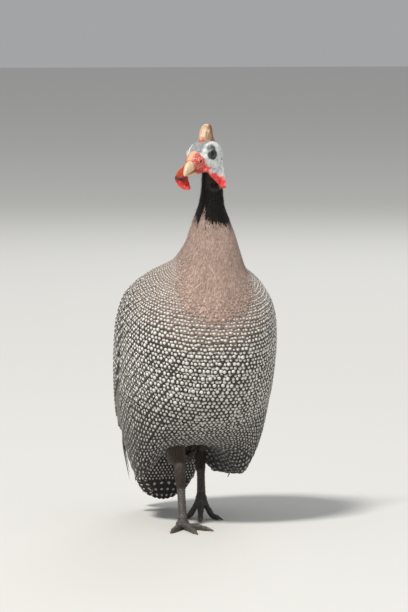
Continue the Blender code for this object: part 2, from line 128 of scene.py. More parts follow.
# %% Tables
CENTRE = np.array([-0.0032, 0.0153, 0.0])
BODY = np.array([
    (-0.0660, 0.4690, -0.0960, 0.4600, 0.0122, 0.0000),
    (-0.0700, 0.4430, -0.1000, 0.4350, 0.0130, -0.0005),
    (-0.0680, 0.4200, -0.1020, 0.4100, 0.0158, -0.0010),
    (-0.0600, 0.4020, -0.1040, 0.3900, 0.0222, 0.0000),
    (-0.0480, 0.3850, -0.1070, 0.3680, 0.0292, 0.0015),
    (-0.0320, 0.3670, -0.1100, 0.3440, 0.0362, 0.0025),
    (-0.0080, 0.3475, -0.1140, 0.3180, 0.0490, 0.0010),
    (0.0220, 0.3335, -0.1200, 0.2880, 0.0770, -0.0015),
    (0.0550, 0.3180, -0.1230, 0.2520, 0.0950, -0.0030),
    (0.0850, 0.2900, -0.1200, 0.2120, 0.1015, -0.0035),
    (0.1080, 0.2530, -0.1080, 0.1720, 0.1015, -0.0025),
    (0.1250, 0.2140, -0.0860, 0.1360, 0.0990, -0.0010),
    (0.1350, 0.1760, -0.0560, 0.1120, 0.0940, -0.0005),
    (0.1400, 0.1460, -0.0200, 0.1020, 0.0855, -0.0015),
    (0.1410, 0.1240, 0.0200, 0.1020, 0.0730, -0.0025),
    (0.1380, 0.1120, 0.0580, 0.1040, 0.0560, -0.0030),
    (0.1280, 0.1080, 0.0900, 0.1050, 0.0280, -0.0030),
])
BODY_END = 16.0
FEATHER_BLUNT = 2.25
TAIL = np.array([
    (0.1000, 0.1900, 0.0340, 0.0260), (0.1200, 0.1480, 0.0420, 0.0250),
    (0.1340, 0.1060, 0.0460, 0.0195), (0.1400, 0.0680, 0.0450, 0.0135),
    (0.1420, 0.0360, 0.0400, 0.0085), (0.1410, 0.0090, 0.0220, 0.0032),
])
TAIL_SIDEWAYS = -0.010
FLIGHT = np.array([
    (0.0820, 0.0560, 0.1240), (0.0805, 0.0700, 0.0960),
    (0.0730, 0.0840, 0.0690), (0.0650, 0.0950, 0.0430),
])
THIGHS = {
    "right": np.array([(-0.044, 0.000, 0.155, 0.026), (-0.038, -0.014, 0.122, 0.022),
                       (-0.033, -0.027, 0.096, 0.0125), (-0.0305, -0.0335, 0.0805, 0.0082)]),
    "left": np.array([(0.044, 0.010, 0.160, 0.026), (0.036, 0.036, 0.125, 0.021),
                      (0.027, 0.060, 0.099, 0.0125), (0.0236, 0.0700, 0.0862, 0.0082)]),
}
SHANKS = {
    "right": np.array([(-0.0305, -0.0345, 0.0800, 0.0078), (-0.0307, -0.0385, 0.0700, 0.0070),
                       (-0.0311, -0.0460, 0.0450, 0.0052), (-0.0317, -0.0540, 0.0200, 0.0054),
                       (-0.0320, -0.0575, 0.0100, 0.0060)]),
    "left": np.array([(0.0232, 0.0718, 0.0845, 0.0078), (0.0225, 0.0680, 0.0745, 0.0070),
                      (0.0208, 0.0575, 0.0540, 0.0052), (0.0185, 0.0465, 0.0340, 0.0054),
                      (0.0175, 0.0425, 0.0270, 0.0060)]),
}
FOOT_TURN = {"right": math.radians(4), "left": math.radians(-16)}
TOES = {"middle": (0, 0.046, 0.0046, 0.0032), "outer": (36, 0.036, 0.0043, 0.0030),
        "inner": (-36, 0.034, 0.0043, 0.0030)}
SOLE_HEIGHT = 0.0026
CLAW_LENGTH = 0.0115
HALLUX_LENGTH = 0.012
SIDES = {"left": 1, "right": -1}


def smooth_rows(table, t):
    """Rows of a table at places t, on a Catmull-Rom curve through the table's rows: each
    value is a cubic in the distance from the row before, fitted to the two rows on
    either side."""
    last = len(table) - 1
    t = np.clip(np.asarray(t, float), 0.0, last)
    i = np.minimum(t.astype(int), last - 1)
    f = (t - i)[..., None]
    p, q, r, s = (table[np.clip(i + k, 0, last)] for k in (-1, 0, 1, 2))
    return q + 0.5 * f * (r - p + f * (2 * p - 5 * q + 4 * r - s + f * (3 * (q - r) + s - p)))


def blunt(x, power):
    """x with its size raised to power and its sign kept, which squares off a round section."""
    return np.sign(x) * np.abs(x) ** power


def fade(x, start, end):
    """0 before start, 1 after end and a smooth S between them."""
    share = np.clip((x - start) / (end - start), 0.0, 1.0)
    return share * share * (3 - 2 * share)


def bell(x, centre, width):
    """A bell curve: 1 at its centre and 0.37 at one width away."""
    return np.exp(-(((x - centre) / width) ** 2))


def unit(vectors):
    """The same directions, with length 1."""
    return vectors / np.linalg.norm(vectors, axis=-1, keepdims=True)


def rings(start, end, rows, sides):
    """Two grids for a tube: places from start to end in rows, and angles round it in columns."""
    angles = np.linspace(0, 2 * np.pi, sides + 1)[:-1]
    return np.meshgrid(np.linspace(start, end, rows), angles, indexing="ij")


def body_points(t, turn, grow=0.0):
    """Points of the body at station t and angle turn: the middle of back and front, plus the
    cosine of the angle times half the reach between them and the sine times the half width,
    both squared off. Low on the flanks the points drop by a bell curve round each side."""
    row = np.moveaxis(smooth_rows(BODY, t), -1, 0)
    back, front = np.stack([row[5], row[0], row[1]], -1), np.stack([row[5], row[2], row[3]], -1)
    middle, reach = (back + front) / 2, (back - front) / 2
    reach = reach * (1 + grow / np.linalg.norm(reach, axis=-1, keepdims=True))
    low = np.clip(np.minimum((t - 11.0) / 2.2, (BODY_END + 0.7 - t) / 1.6), 0.0, 1.0)
    drop = 0.052 * low * bell(np.abs(turn - math.pi), 0.98, 0.46)
    power = 2 / FEATHER_BLUNT
    points = middle + blunt(np.cos(turn), power)[..., None] * reach
    points[..., 0] += blunt(np.sin(turn), power) * (row[4] + grow)
    points[..., 2] -= drop
    return points


# %% [markdown]
# ## Surfaces to lay feathers on
# Feathers follow the surface under them, so each part of the bird is kept as a *sheet*: a
# fine grid of points whose columns share out the girth evenly. A place on a sheet is a pair
# of numbers, the share of the way round and the share of the way along, and the sheet gives
# the point and the outward direction there.

# %% Sheets
PLACES = 384


class Sheet:
    """A tube-like surface as a grid of points, rows along it and columns round it. Between
    grid points it blends the four nearest ones, and past its ends it runs straight on."""

    def __init__(self, points):
        """Lay the grid out, and once more in mirror image if its directions point inwards."""
        self.lay_out(points)
        outwards = self.points - self.points[:, :-1].mean(1)[:, None]
        if (outwards * self.normals).sum() < 0:
            self.lay_out(points[:, ::-1])

    def lay_out(self, points):
        """Share the girth out evenly among the columns, and work out the directions."""
        ring = np.concatenate([points, points[:, :1]], 1)
        far = np.cumsum(np.linalg.norm(np.diff(ring, axis=1), axis=2), axis=1)
        far = np.concatenate([np.zeros((len(far), 1)), far], 1)
        self.girths = far[:, -1]
        share = np.linspace(0, 1, PLACES + 1)
        self.points = np.array([
            [np.interp(share * row[-1], row, line[:, k]) for k in range(3)]
            for row, line in zip(far, ring)
        ]).transpose(0, 2, 1)
        open_ring = self.points[:, :-1]
        around = np.roll(open_ring, -1, 1) - np.roll(open_ring, 1, 1)
        around = np.concatenate([around, around[:, :1]], 1)
        self.along = np.gradient(self.points, axis=0) * (len(points) - 1)
        cross = np.cross(around, self.along)
        self.normals = cross / np.maximum(np.linalg.norm(cross, axis=2, keepdims=True), 1e-12)

    def blend(self, grid, a, v):
        """Values of a grid at (a, v): the mean of the four nearest, weighted by nearness."""
        rows = len(self.points)
        x, y = (a % 1.0) * PLACES, np.clip(v, 0, 1) * (rows - 1)
        j, i = np.minimum(x.astype(int), PLACES - 1), np.minimum(y.astype(int), rows - 2)
        fx, fy = (x - j)[..., None], (y - i)[..., None]
        near = grid[i, j] * (1 - fx) + grid[i, j + 1] * fx
        far = grid[i + 1, j] * (1 - fx) + grid[i + 1, j + 1] * fx
        return near * (1 - fy) + far * fy

    def at(self, a, v):
        """Points and outward directions at shares a of the way round and v along."""
        past = (v - np.clip(v, 0, 1))[..., None]
        point = self.blend(self.points, a, v) + past * self.blend(self.along, a, v)
        return point, unit(self.blend(self.normals, a, v))

    def girth(self, v):
        """Metres round the sheet at v."""
        return np.interp(v, np.linspace(0, 1, len(self.girths)), self.girths)

    def pace(self, a, v):
        """Metres travelled along the sheet for each whole share of v."""
        return np.linalg.norm(self.blend(self.along, a, v), axis=-1)

    def mean_pace(self, v):
        """The pace at v, as a mean over places all the way round."""
        a = np.linspace(0, 1, 48, endpoint=False)
        return self.pace(a, np.full(len(a), v)).mean()

    def lay(self, a, v, yaw, x, y, height):
        """Points of small flat shapes: x across and y along from each anchor (a, v), turned by
        yaw, then raised by height along the outward direction."""
        girth, pace = self.girth(v)[:, None], self.pace(a, v)[:, None]
        c, s = np.cos(yaw)[:, None], np.sin(yaw)[:, None]
        point, normal = self.at(a[:, None] + (x * c + y * s) / girth, v[:, None] + (y * c - x * s) / pace)
        return point + normal * height[..., None]


body_sheet = Sheet(body_points(*rings(0, BODY_END, 321, 720)))


def tail_points(t, turn, thin=0.0):
    """Points of the tail fan: half width times the sine of the angle sideways, and half
    thickness times the squared-off cosine outwards, square to the fan's own line."""
    row, before, after = (np.moveaxis(smooth_rows(TAIL, t + k), -1, 0) for k in (0, -0.1, 0.1))
    out_y, out_z = before[1] - after[1], after[0] - before[0]
    size = np.hypot(out_y, out_z)
    thick = np.maximum(row[3] - thin, 0.0008) * blunt(np.cos(turn), 0.8)
    wide = np.maximum(row[2] - thin, 0.001) * np.sin(turn)
    return np.stack([TAIL_SIDEWAYS * t / (len(TAIL) - 1) + wide, row[0] + thick * out_y / size,
                     row[1] + thick * out_z / size], -1)


def tube_points(rows, count, sides, flat_at=None, swell=None):
    """Rings round a path of (x, y, z, radius) rows: each ring is square to the path, and a
    floor height may cut it off flat."""
    t = np.linspace(0, len(rows) - 1, count)
    row = smooth_rows(rows, t)
    ahead = smooth_rows(rows, t + 0.05)[:, :3] - smooth_rows(rows, t - 0.05)[:, :3]
    side = np.cross(ahead, np.array([0.0, 0.0, 1.0]))
    size = np.linalg.norm(side, axis=1, keepdims=True)
    side = np.where(size < 1e-6 * np.linalg.norm(ahead, axis=1, keepdims=True), (1.0, 0.0, 0.0), side)
    side = unit(side)
    up = unit(np.cross(side, ahead))
    turn = 2 * np.pi * (np.arange(sides) + 0.5) / sides
    radius = row[:, 3] if swell is None else row[:, 3] * swell(t / (len(rows) - 1))
    points = row[:, None, :3] + radius[:, None, None] * (
        np.cos(turn)[None, :, None] * side[:, None] + np.sin(turn)[None, :, None] * up[:, None])
    if flat_at is not None:
        points[..., 2] = np.maximum(points[..., 2], flat_at)
    return points


tail_sheet = Sheet(tail_points(*rings(0, len(TAIL) - 1, 161, 360)))
print("body girth at its widest:", round(float(body_sheet.girths.max()), 3), "m")


# %% [markdown]
# ## From numbers to meshes
# A mesh is a list of points and a list of faces. These helpers close a grid of rings at both
# ends, make sure that the faces look outwards, and write whole arrays into Blender at once,
# which is far quicker than adding points one by one.

# %% Mesh helpers
def grid_quads(g):
    """Four-cornered faces between the neighbours in a grid of point numbers."""
    return np.stack([g[:-1, :-1], g[:-1, 1:], g[1:, 1:], g[1:, :-1]], -1).reshape(-1, 4)


def shell(grid):
    """A closed shell from rows of rings. Its ends are fans of triangles to a middle point."""
    rows, sides = grid.shape[:2]
    index = np.arange(rows * sides).reshape(rows, sides)
    after = np.roll(index, -1, axis=1)
    quads = np.stack([index[:-1], after[:-1], after[1:], index[1:]], -1).reshape(-1, 4)
    first, last = rows * sides, rows * sides + 1
    start = np.stack([np.full(sides, first), after[0], index[0]], -1)
    end = np.stack([np.full(sides, last), index[-1], after[-1]], -1)
    points = np.concatenate([grid.reshape(-1, 3), grid[0].mean(0)[None], grid[-1].mean(0)[None]])
    return face_out(points, [quads, np.concatenate([start, end])])


def face_out(points, faces):
    """Turn all faces round if the volume that they close comes out negative."""
    volume = 0.0
    for f in faces:
        for k in range(1, f.shape[1] - 1):
            across = np.cross(points[f[:, k]], points[f[:, k + 1]])
            volume += (points[f[:, 0]] * across).sum()
    return (points, [f[:, ::-1] for f in faces]) if volume < 0 else (points, faces)


def join_shells(shells):
    """One list of points and faces from several shells."""
    points, by_corners, base = [], {}, 0
    for p, faces in shells:
        points.append(p)
        for f in faces:
            by_corners.setdefault(f.shape[1], []).append(f + base)
        base += len(p)
    return np.concatenate(points), [np.concatenate(f) for f in by_corners.values()]


def put_mesh(name, points, faces, maps=None, values=None, finish=None):
    """A new object whose mesh holds these points and faces, with UV maps and values by point."""
    mesh = bpy.data.meshes.new(name)
    corners = np.concatenate([f.ravel() for f in faces]).astype(np.int32)
    sizes = np.concatenate([np.full(len(f), f.shape[1]) for f in faces])
    mesh.vertices.add(len(points))
    mesh.vertices.foreach_set("co", (points - CENTRE).astype(np.float32).ravel())
    mesh.loops.add(len(corners))
    mesh.loops.foreach_set("vertex_index", corners)
    mesh.polygons.add(len(sizes))
    mesh.polygons.foreach_set("loop_start", np.concatenate([[0], np.cumsum(sizes)[:-1]]).astype(np.int32))
    mesh.update(calc_edges=True)
    for map_name, uv in (maps or {}).items():
        layer = mesh.uv_layers.new(name=map_name)
        layer.uv.foreach_set("vector", uv[corners].astype(np.float32).ravel())
    for value_name, value in (values or {}).items():
        layer = mesh.attributes.new(value_name, "FLOAT", "POINT")
        layer.data.foreach_set("value", value.astype(np.float32))
    mesh.shade_smooth()
    if finish is not None:
        mesh.materials.append(finish)
    made = bpy.data.objects.new(name, mesh)
    bpy.context.scene.collection.objects.link(made)
    return made


def own(piece, slot, *nodes):
    """Say which body the piece rides on and which solids it replaces. The slot is not used."""
    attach(piece, "root")
    if nodes:
        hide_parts(*nodes)
    triangles = sum(len(p.vertices) - 2 for p in piece.data.polygons)
    print(f"{piece.name}: {triangles} triangles")
    return piece


def noise(points, size, seed):
    """Smooth noise from -1 to 1: a fixed random number sits on each corner of a grid of
    cubes of this size, and inside a cube the eight numbers are blended by a smooth S."""
    place = points / size
    cell = np.floor(place).astype(np.int64)
    f = place - cell
    f = f * f * (3 - 2 * f)
    total = np.zeros(len(points))
    for corner in np.ndindex(2, 2, 2):
        x, y, z = (cell + np.array(corner)).T
        mixed = (x * 73856093) ^ (y * 19349663) ^ (z * 83492791) ^ (seed * 2654435761)
        mixed = ((mixed ^ (mixed >> 13)) * 1274126177) & 0x7FFFFFFF
        mixed = ((mixed ^ (mixed >> 15)) * 1103515245) & 0x7FFFFFFF
        weight = np.prod(np.where(np.array(corner) == 1, f, 1 - f), axis=1)
        total += weight * mixed
    return total / 0x3FFFFFFF - 1.0


# %% [markdown]
# ## Finishes
# A shader node group is a small machine that several finishes share. These groups give fine
# mottling, the barbs of a feather and the creases of skin. The Principled shader itself
# stays in each finish, with its plain numbers set on its own sockets.

# %% Node helpers
def feed(tree, socket, value):
    """Link another socket to this one, or set a plain value on it."""
    if isinstance(value, bpy.types.NodeSocket):
        tree.links.new(value, socket)
    else:
        socket.default_value = value


def add_node(tree, kind, settings=None, **inputs):
    """A node in a tree, with settings on the node and numbers or links on its inputs. An
    input's name has underscores for spaces, or is an underscore and its number."""
    node = tree.nodes.new(kind)
    for key, value in (settings or {}).items():
        setattr(node, key, value)
    for key, value in inputs.items():
        feed(tree, node.inputs[int(key[1:]) if key[0] == "_" else key.replace("_", " ")], value)
    return node


def start_group(name, inputs, outputs):
    """An empty node group with named input and output sockets."""
    tree = bpy.data.node_groups.new(name, "ShaderNodeTree")
    for socket_name, kind, default in inputs:
        socket = tree.interface.new_socket(name=socket_name, in_out="INPUT", socket_type="NodeSocket" + kind)
        socket.default_value = default
    for socket_name, kind in outputs:
        tree.interface.new_socket(name=socket_name, in_out="OUTPUT", socket_type="NodeSocket" + kind)
    return tree, tree.nodes.new("NodeGroupInput").outputs, tree.nodes.new("NodeGroupOutput").inputs


def mix_colours(tree, share, first, second, how="MIX"):
    """A mix of two colours, each a socket or a plain colour."""
    return add_node(tree, "ShaderNodeMix", {"data_type": "RGBA", "blend_type": how},
                    _0=share, _6=first, _7=second).outputs[2]


def calc(tree, operation, *values):
    """One sum on numbers or sockets."""
    node = add_node(tree, "ShaderNodeMath", {"operation": operation})
    for socket, value in zip(node.inputs, values):
        feed(tree, socket, value)
    return node.outputs[0]


def times(tree, first, second):
    """One number times another."""
    return calc(tree, "MULTIPLY", first, second)


def ramp(tree, value, low, high, to_low=0.0, to_high=1.0):
    """A number carried from one range to another, and held at the ends."""
    return add_node(tree, "ShaderNodeMapRange", {"clamp": True}, Value=value, From_Min=low, From_Max=high,
                    To_Min=to_low, To_Max=to_high).outputs[0]


def feather_map(tree):
    """A feather's own map: the place across it from 0 to 1, and from its root to its tip."""
    uv = add_node(tree, "ShaderNodeUVMap", {"uv_map": "vane"})
    return add_node(tree, "ShaderNodeSeparateXYZ", Vector=uv.outputs[0]).outputs[:2]


def from_shaft(tree, across):
    """The distance from a feather's shaft, from 0 to a half."""
    return calc(tree, "ABSOLUTE", calc(tree, "SUBTRACT", across, 0.5))


def own_place(tree):
    """The object's own coordinates."""
    return tree.nodes.new("ShaderNodeTexCoord").outputs["Object"]


def read_value(tree, name):
    """A value kept on the piece's own points. Where a piece has none, it reads as 0."""
    return add_node(tree, "ShaderNodeAttribute", {"attribute_name": name}).outputs["Fac"]


def add_bump(tree, shader, height, strength, distance):
    """Raise the surface by a height, for shading only."""
    bump = add_node(tree, "ShaderNodeBump", Height=height, Strength=strength, Distance=distance)
    tree.links.new(bump.outputs["Normal"], shader.inputs["Normal"])


def new_finish(name, roughness, **sockets):
    """A finish with a Principled shader whose plain numbers are set here."""
    made = bpy.data.materials.new(name)
    made.use_nodes = True
    shader = made.node_tree.nodes["Principled BSDF"]
    shader.inputs["Roughness"].default_value = roughness
    for key, value in sockets.items():
        shader.inputs[key.replace("_", " ")].default_value = value
    return made, made.node_tree, shader


# %% Shared groups
FULL_TURN = 6.283


def make_mottle():
    """Blotches: noise at the object's own coordinates mixes a first and a second colour."""
    tree, inside, out = start_group(
        "mottle",
        [("First", "Color", (1, 1, 1, 1)), ("Second", "Color", (0, 0, 0, 1)), ("Scale", "Float", 100.0),
         ("Cover", "Float", 0.5), ("Softness", "Float", 0.1)],
        [("Color", "Color"), ("Mask", "Float")])
    grain = add_node(tree, "ShaderNodeTexNoise", Vector=own_place(tree), Scale=inside["Scale"], Detail=4.0)
    low = calc(tree, "SUBTRACT", inside["Cover"], inside["Softness"])
    high = calc(tree, "ADD", inside["Cover"], inside["Softness"])
    mask = ramp(tree, grain.outputs["Fac"], low, high)
    tree.links.new(mask, out["Mask"])
    tree.links.new(mix_colours(tree, mask, inside["First"], inside["Second"]), out["Color"])
    return tree


def make_barbs():
    """Ridges and bars of a feather. A ridge is a sine wave in the distance along the feather
    less half the distance from its shaft, so it slants. A bar is a sine wave along it."""
    tree, inside, out = start_group("barbs", [("Count", "Float", 60.0), ("Bars", "Float", 6.0)],
                                    [("Ridge", "Float"), ("Bar", "Float")])
    across, along = feather_map(tree)
    slant = calc(tree, "SUBTRACT", along, times(tree, from_shaft(tree, across), 0.5))
    wave = calc(tree, "SINE", times(tree, slant, times(tree, inside["Count"], FULL_TURN)))
    bar = calc(tree, "SINE", times(tree, along, times(tree, inside["Bars"], FULL_TURN)))
    tree.links.new(ramp(tree, wave, -1.0, 1.0), out["Ridge"])
    tree.links.new(ramp(tree, bar, -0.35, 0.35), out["Bar"])
    return tree


def make_creases():
    """Creases and pores of bare skin or horn as one height, from cells and noise."""
    tree, inside, out = start_group("creases", [("Scale", "Float", 900.0), ("Long", "Float", 1.0)],
                                    [("Height", "Float")])
    stretch = add_node(tree, "ShaderNodeCombineXYZ", X=1.0, Y=1.0, Z=inside["Long"])
    place = add_node(tree, "ShaderNodeVectorMath", {"operation": "MULTIPLY"},
                     _0=own_place(tree), _1=stretch.outputs[0]).outputs[0]
    cells = add_node(tree, "ShaderNodeTexVoronoi", {"feature": "DISTANCE_TO_EDGE"}, Vector=place,
                     Scale=inside["Scale"])
    coarser = times(tree, inside["Scale"], 0.4)
    grain = add_node(tree, "ShaderNodeTexNoise", Vector=place, Scale=coarser, Detail=5.0)
    tree.links.new(calc(tree, "ADD", ramp(tree, cells.outputs["Distance"], 0.0, 0.25),
                        times(tree, grain.outputs["Fac"], 1.2)), out["Height"])
    return tree


MOTTLE, BARBS, CREASES = make_mottle(), make_barbs(), make_creases()


def use_group(tree, group, **inputs):
    """The outputs of a shared group placed in a finish, with this finish's own values."""
    return add_node(tree, "ShaderNodeGroup", {"node_tree": group}, **inputs).outputs


def mottled(tree, first, second, scale, cover, softness):
    """Blotches of two screen colours."""
    return use_group(tree, MOTTLE, First=paint(*first), Second=paint(*second), Scale=scale, Cover=cover,
                     Softness=softness)


# %% Feather finishes
LILAC, LILAC_BAR = (190, 167, 155), (160, 138, 127)


def shade_vane(tree, shader, colour, ridge, dimmed, strength, distance):
    """Darken a vane between its barbs and by its own shade value, and raise the barbs."""
    lightness = times(tree, ramp(tree, ridge, 0.0, 1.0, dimmed, 1.0), read_value(tree, "shade"))
    tree.links.new(mix_colours(tree, 1.0, colour, lightness, "MULTIPLY"), shader.inputs["Base Color"])
    add_bump(tree, shader, ridge, strength, distance)


def feather_finish(name, dark, pale, barred, lilac_barred, bar_count):
    """Vanes: a dark ground with fine pale squiggles, which turns to lilac where the piece's
    lilac value says so. Each of the two may carry faint bars."""
    made, tree, shader = new_finish(name, 0.72, Sheen_Weight=0.25, Sheen_Roughness=0.45,
                                    Specular_IOR_Level=0.3)
    speckle = mottled(tree, dark, pale, 1500.0, 0.57, 0.05)["Color"]
    barbs = use_group(tree, BARBS, Count=34.0, Bars=bar_count)
    ground = mix_colours(tree, times(tree, barbs["Bar"], barred), speckle, paint(*pale))
    lilac = mix_colours(tree, times(tree, barbs["Bar"], lilac_barred), paint(*LILAC), paint(*LILAC_BAR))
    colour = mix_colours(tree, read_value(tree, "lilac"), ground, lilac)
    shade_vane(tree, shader, colour, barbs["Ridge"], 0.80, 0.35, 0.0003)
    return made


def flight_finish():
    """Long wing feathers: grey-brown, with thin pale bars on one half of each vane, a pale
    edge beside them and a dark shaft. The bars are a sine wave that slants across the vane."""
    made, tree, shader = new_finish("flight_plumage", 0.6, Sheen_Weight=0.15, Specular_IOR_Level=0.3)
    ground = mottled(tree, (84, 73, 62), (62, 54, 46), 500.0, 0.5, 0.15)["Color"]
    across, along = feather_map(tree)
    outer, edge = ramp(tree, across, 0.44, 0.36), ramp(tree, across, 0.06, 0.03)
    slanted = calc(tree, "SUBTRACT", along, times(tree, across, 0.035))
    bar = ramp(tree, calc(tree, "SINE", times(tree, slanted, 250.0)), 0.25, 0.8)
    marks = calc(tree, "MAXIMUM", times(tree, times(tree, bar, outer), 0.55), times(tree, edge, 0.7))
    colour = mix_colours(tree, marks, ground, paint(198, 186, 162))
    shaft = ramp(tree, from_shaft(tree, across), 0.035, 0.02)
    colour = mix_colours(tree, shaft, colour, paint(40, 32, 26))
    shade_vane(tree, shader, colour, use_group(tree, BARBS, Count=90.0)["Ridge"], 0.85, 0.3, 0.0003)
    return made


def collar_finish():
    """The collar: soft pinkish grey, and a paler tip with a darker bar above it on the lowest
    feathers, where the bib breaks up into rows of spots."""
    made, tree, shader = new_finish("collar_plumage", 0.8, Sheen_Weight=0.35, Sheen_Roughness=0.4,
                                    Specular_IOR_Level=0.2)
    tone = mottled(tree, (216, 187, 172), (180, 153, 140), 330.0, 0.52, 0.22)["Color"]
    along = feather_map(tree)[1]
    tip = ramp(tree, along, 0.93, 0.965)
    bar = times(tree, ramp(tree, along, 0.80, 0.86), calc(tree, "SUBTRACT", 1.0, tip))
    marks = read_value(tree, "barred")
    colour = mix_colours(tree, times(tree, bar, marks), tone, paint(140, 118, 107))
    colour = mix_colours(tree, times(tree, tip, marks), colour, paint(240, 228, 218))
    shade_vane(tree, shader, colour, use_group(tree, BARBS, Count=26.0)["Ridge"], 0.90, 0.25, 0.0002)
    return made


def plain_feather(name, first, second, roughness, scale=400.0, shaded=False):
    """A finish of one tone with slight mottling, for spots and hair-like feathers."""
    sheen = 0.2 if shaded else 0.03
    made, tree, shader = new_finish(name, roughness, Sheen_Weight=sheen, Sheen_Roughness=0.5,
                                    Specular_IOR_Level=0.25)
    grain = mottled(tree, first, second, scale, 0.5, 0.2)
    colour = grain["Color"]
    if shaded:
        colour = mix_colours(tree, 1.0, colour, read_value(tree, "shade"), "MULTIPLY")
    tree.links.new(colour, shader.inputs["Base Color"])
    add_bump(tree, shader, grain["Mask"], 0.2, 0.0002)
    return made


plumage = feather_finish("plumage", (48, 44, 41), (118, 113, 106), 0.0, 0.40, 7.0)
leg_plumage = feather_finish("leg_plumage", (50, 39, 28), (88, 71, 53), 0.20, 0.0, 5.0)
flight = flight_finish()
collar_down = collar_finish()
pearl = plain_feather("pearl_spots", (252, 249, 243), (234, 229, 220), 0.8, shaded=True)
neck_black = plain_feather("neck_black", (17, 15, 15), (33, 29, 27), 0.55, 900.0)


# %% Skin, horn and eye finishes
SKIN_LAYERS = (
    ("crown", (176, 178, 180), (128, 130, 134), 420.0, 0.50, 0.16),
    ("dusky", (70, 72, 75)),
    ("orange", (222, 112, 66)),
    ("pink", (212, 80, 76), (242, 178, 160), 560.0, 0.55, 0.07),
    ("horn", (238, 196, 158)),
    ("red", (242, 50, 54), (253, 134, 124), 330.0, 0.56, 0.12),
    # painted light: orange that lightens the far wattle's upper lobe, which faces away from the key lamp
    ("lit_lobe", (236, 118, 60)),
    # painted shade: a dark blue-green band inside the far wattle's cup
    ("cup_shade", (58, 70, 66)),
    ("black", (25, 23, 22), (44, 39, 37), 500.0, 0.50, 0.15),
    ("lilac", (178, 150, 138)),
    ("plume", (44, 41, 38)),
    ("scaly", (96, 92, 90), (66, 60, 56), 300.0, 0.50, 0.20),
    # painted shade: dark red-brown inside the ear and nostril openings
    ("opening_shade", (60, 22, 22)),
)


def skin_finish():
    """Bare skin: pale blue-white, with the layers above laid over it one by one, each where
    the value of that name on the skin's points says so. A layer is plain or mottled."""
    made, tree, shader = new_finish("bare_skin", 0.55, Subsurface_Weight=0.08, Subsurface_Scale=0.002,
                                    Specular_IOR_Level=0.4)
    colour = mottled(tree, (248, 249, 246), (184, 196, 202), 260.0, 0.56, 0.12)["Color"]
    for value_name, first, *rest in SKIN_LAYERS:
        tone = mottled(tree, first, *rest)["Color"] if rest else paint(*first)
        colour = mix_colours(tree, read_value(tree, value_name), colour, tone)
    tree.links.new(colour, shader.inputs["Base Color"])
    add_bump(tree, shader, use_group(tree, CREASES, Scale=1100.0, Long=1.6)["Height"], 0.45, 0.0004)
    return made


def horn_finish(name, light, dark, scale, stretch, roughness, bump, red_base=None):
    """Horn: two tones in streaks along the growth, with fine pits. Values may darken the side
    away from the key lamp, as painted shade, and redden it towards its root."""
    made, tree, shader = new_finish(name, roughness, Coat_Weight=0.12, Coat_Roughness=0.3)
    place = add_node(tree, "ShaderNodeMapping", Vector=own_place(tree), Scale=stretch).outputs[0]
    streak = add_node(tree, "ShaderNodeTexNoise", Vector=place, Scale=scale, Detail=6.0, Roughness=0.62)
    colour = mix_colours(tree, ramp(tree, streak.outputs["Fac"], 0.36, 0.66), paint(*light), paint(*dark))
    if red_base is not None:
        # painted shade: dark brown where the horn faces away from the key lamp
        colour = mix_colours(tree, read_value(tree, "shaded_side"), colour, paint(142, 100, 64))
        colour = mix_colours(tree, read_value(tree, "base"), colour, paint(*red_base))
    tree.links.new(colour, shader.inputs["Base Color"])
    add_bump(tree, shader, use_group(tree, CREASES, Scale=scale * 2.6, Long=0.5)["Height"], bump, 0.0004)
    return made


def eye_finish():
    """The eye: a black pupil, a dark brown iris with a mottled ring and a nearly black rim, by
    the angle from the line of sight, under a wet clear coat."""
    made, tree, shader = new_finish("wet_eye", 0.35, Coat_Weight=0.7, Coat_Roughness=0.03,
                                    Specular_IOR_Level=0.2)
    angle = read_value(tree, "sight")
    iris = mottled(tree, (74, 50, 35), (44, 31, 24), 1400.0, 0.5, 0.15)["Color"]
    colour = mix_colours(tree, ramp(tree, angle, 0.50, 0.56), paint(5, 4, 4), iris)
    colour = mix_colours(tree, ramp(tree, angle, 0.80, 0.92), colour, paint(30, 24, 22))
    tree.links.new(colour, shader.inputs["Base Color"])
    return made


bare_skin = skin_finish()
casque_horn = horn_finish("casque_horn", (252, 222, 192), (182, 132, 94), 260.0, (1.0, 1.0, 0.4), 0.5, 0.5,
                          (204, 104, 78))
bill_horn = horn_finish("bill_horn", (238, 214, 184), (214, 178, 140), 180.0, (1.0, 1.0, 0.6), 0.32, 0.12,
                        (214, 104, 88))
claw_horn = horn_finish("claw_horn", (118, 96, 74), (70, 56, 44), 300.0, (1.0, 1.0, 1.0), 0.4, 0.2)
scute_horn = horn_finish("leg_scutes", (108, 102, 98), (70, 63, 56), 240.0, (1.0, 1.0, 0.6), 0.42, 0.3)
wet_eye = eye_finish()

# %% [markdown]
# ## The head's own axes
# The head looks to the bird's right, so its shapes are made straight ahead and then turned
# and tipped into place. A head point is a distance along the bill, one to the left and one up.

# %% Head axes and tables
HEAD_PLACE = Vector((-0.0168, -0.0937, 0.4790))
HEAD_TURN, HEAD_DROP = math.radians(48), math.radians(10)
HEAD = np.array([
    (-0.0330, -0.0020, -0.0210, 0.0060), (-0.0295, 0.0070, -0.0255, 0.0125),
    (-0.0210, 0.0130, -0.0275, 0.0166), (-0.0110, 0.0155, -0.0268, 0.0184),
    (-0.0010, 0.0150, -0.0245, 0.0186), (0.0060, 0.0120, -0.0215, 0.0165),
    (0.0120, 0.0075, -0.0200, 0.0130), (0.0170, 0.0035, -0.0190, 0.0100),
    (0.0195, 0.0000, -0.0175, 0.0070),
])
CASQUE = np.array([
    (0.0080, -0.0140, 0.0165, 0.0094), (0.0130, -0.0138, 0.0147, 0.0080),
    (0.0185, -0.0140, 0.0127, 0.0070), (0.0240, -0.0148, 0.0112, 0.0064),
    (0.0290, -0.0160, 0.0096, 0.0056), (0.0325, -0.0172, 0.0068, 0.0042),
    (0.0344, -0.0180, 0.0030, 0.0020),
])
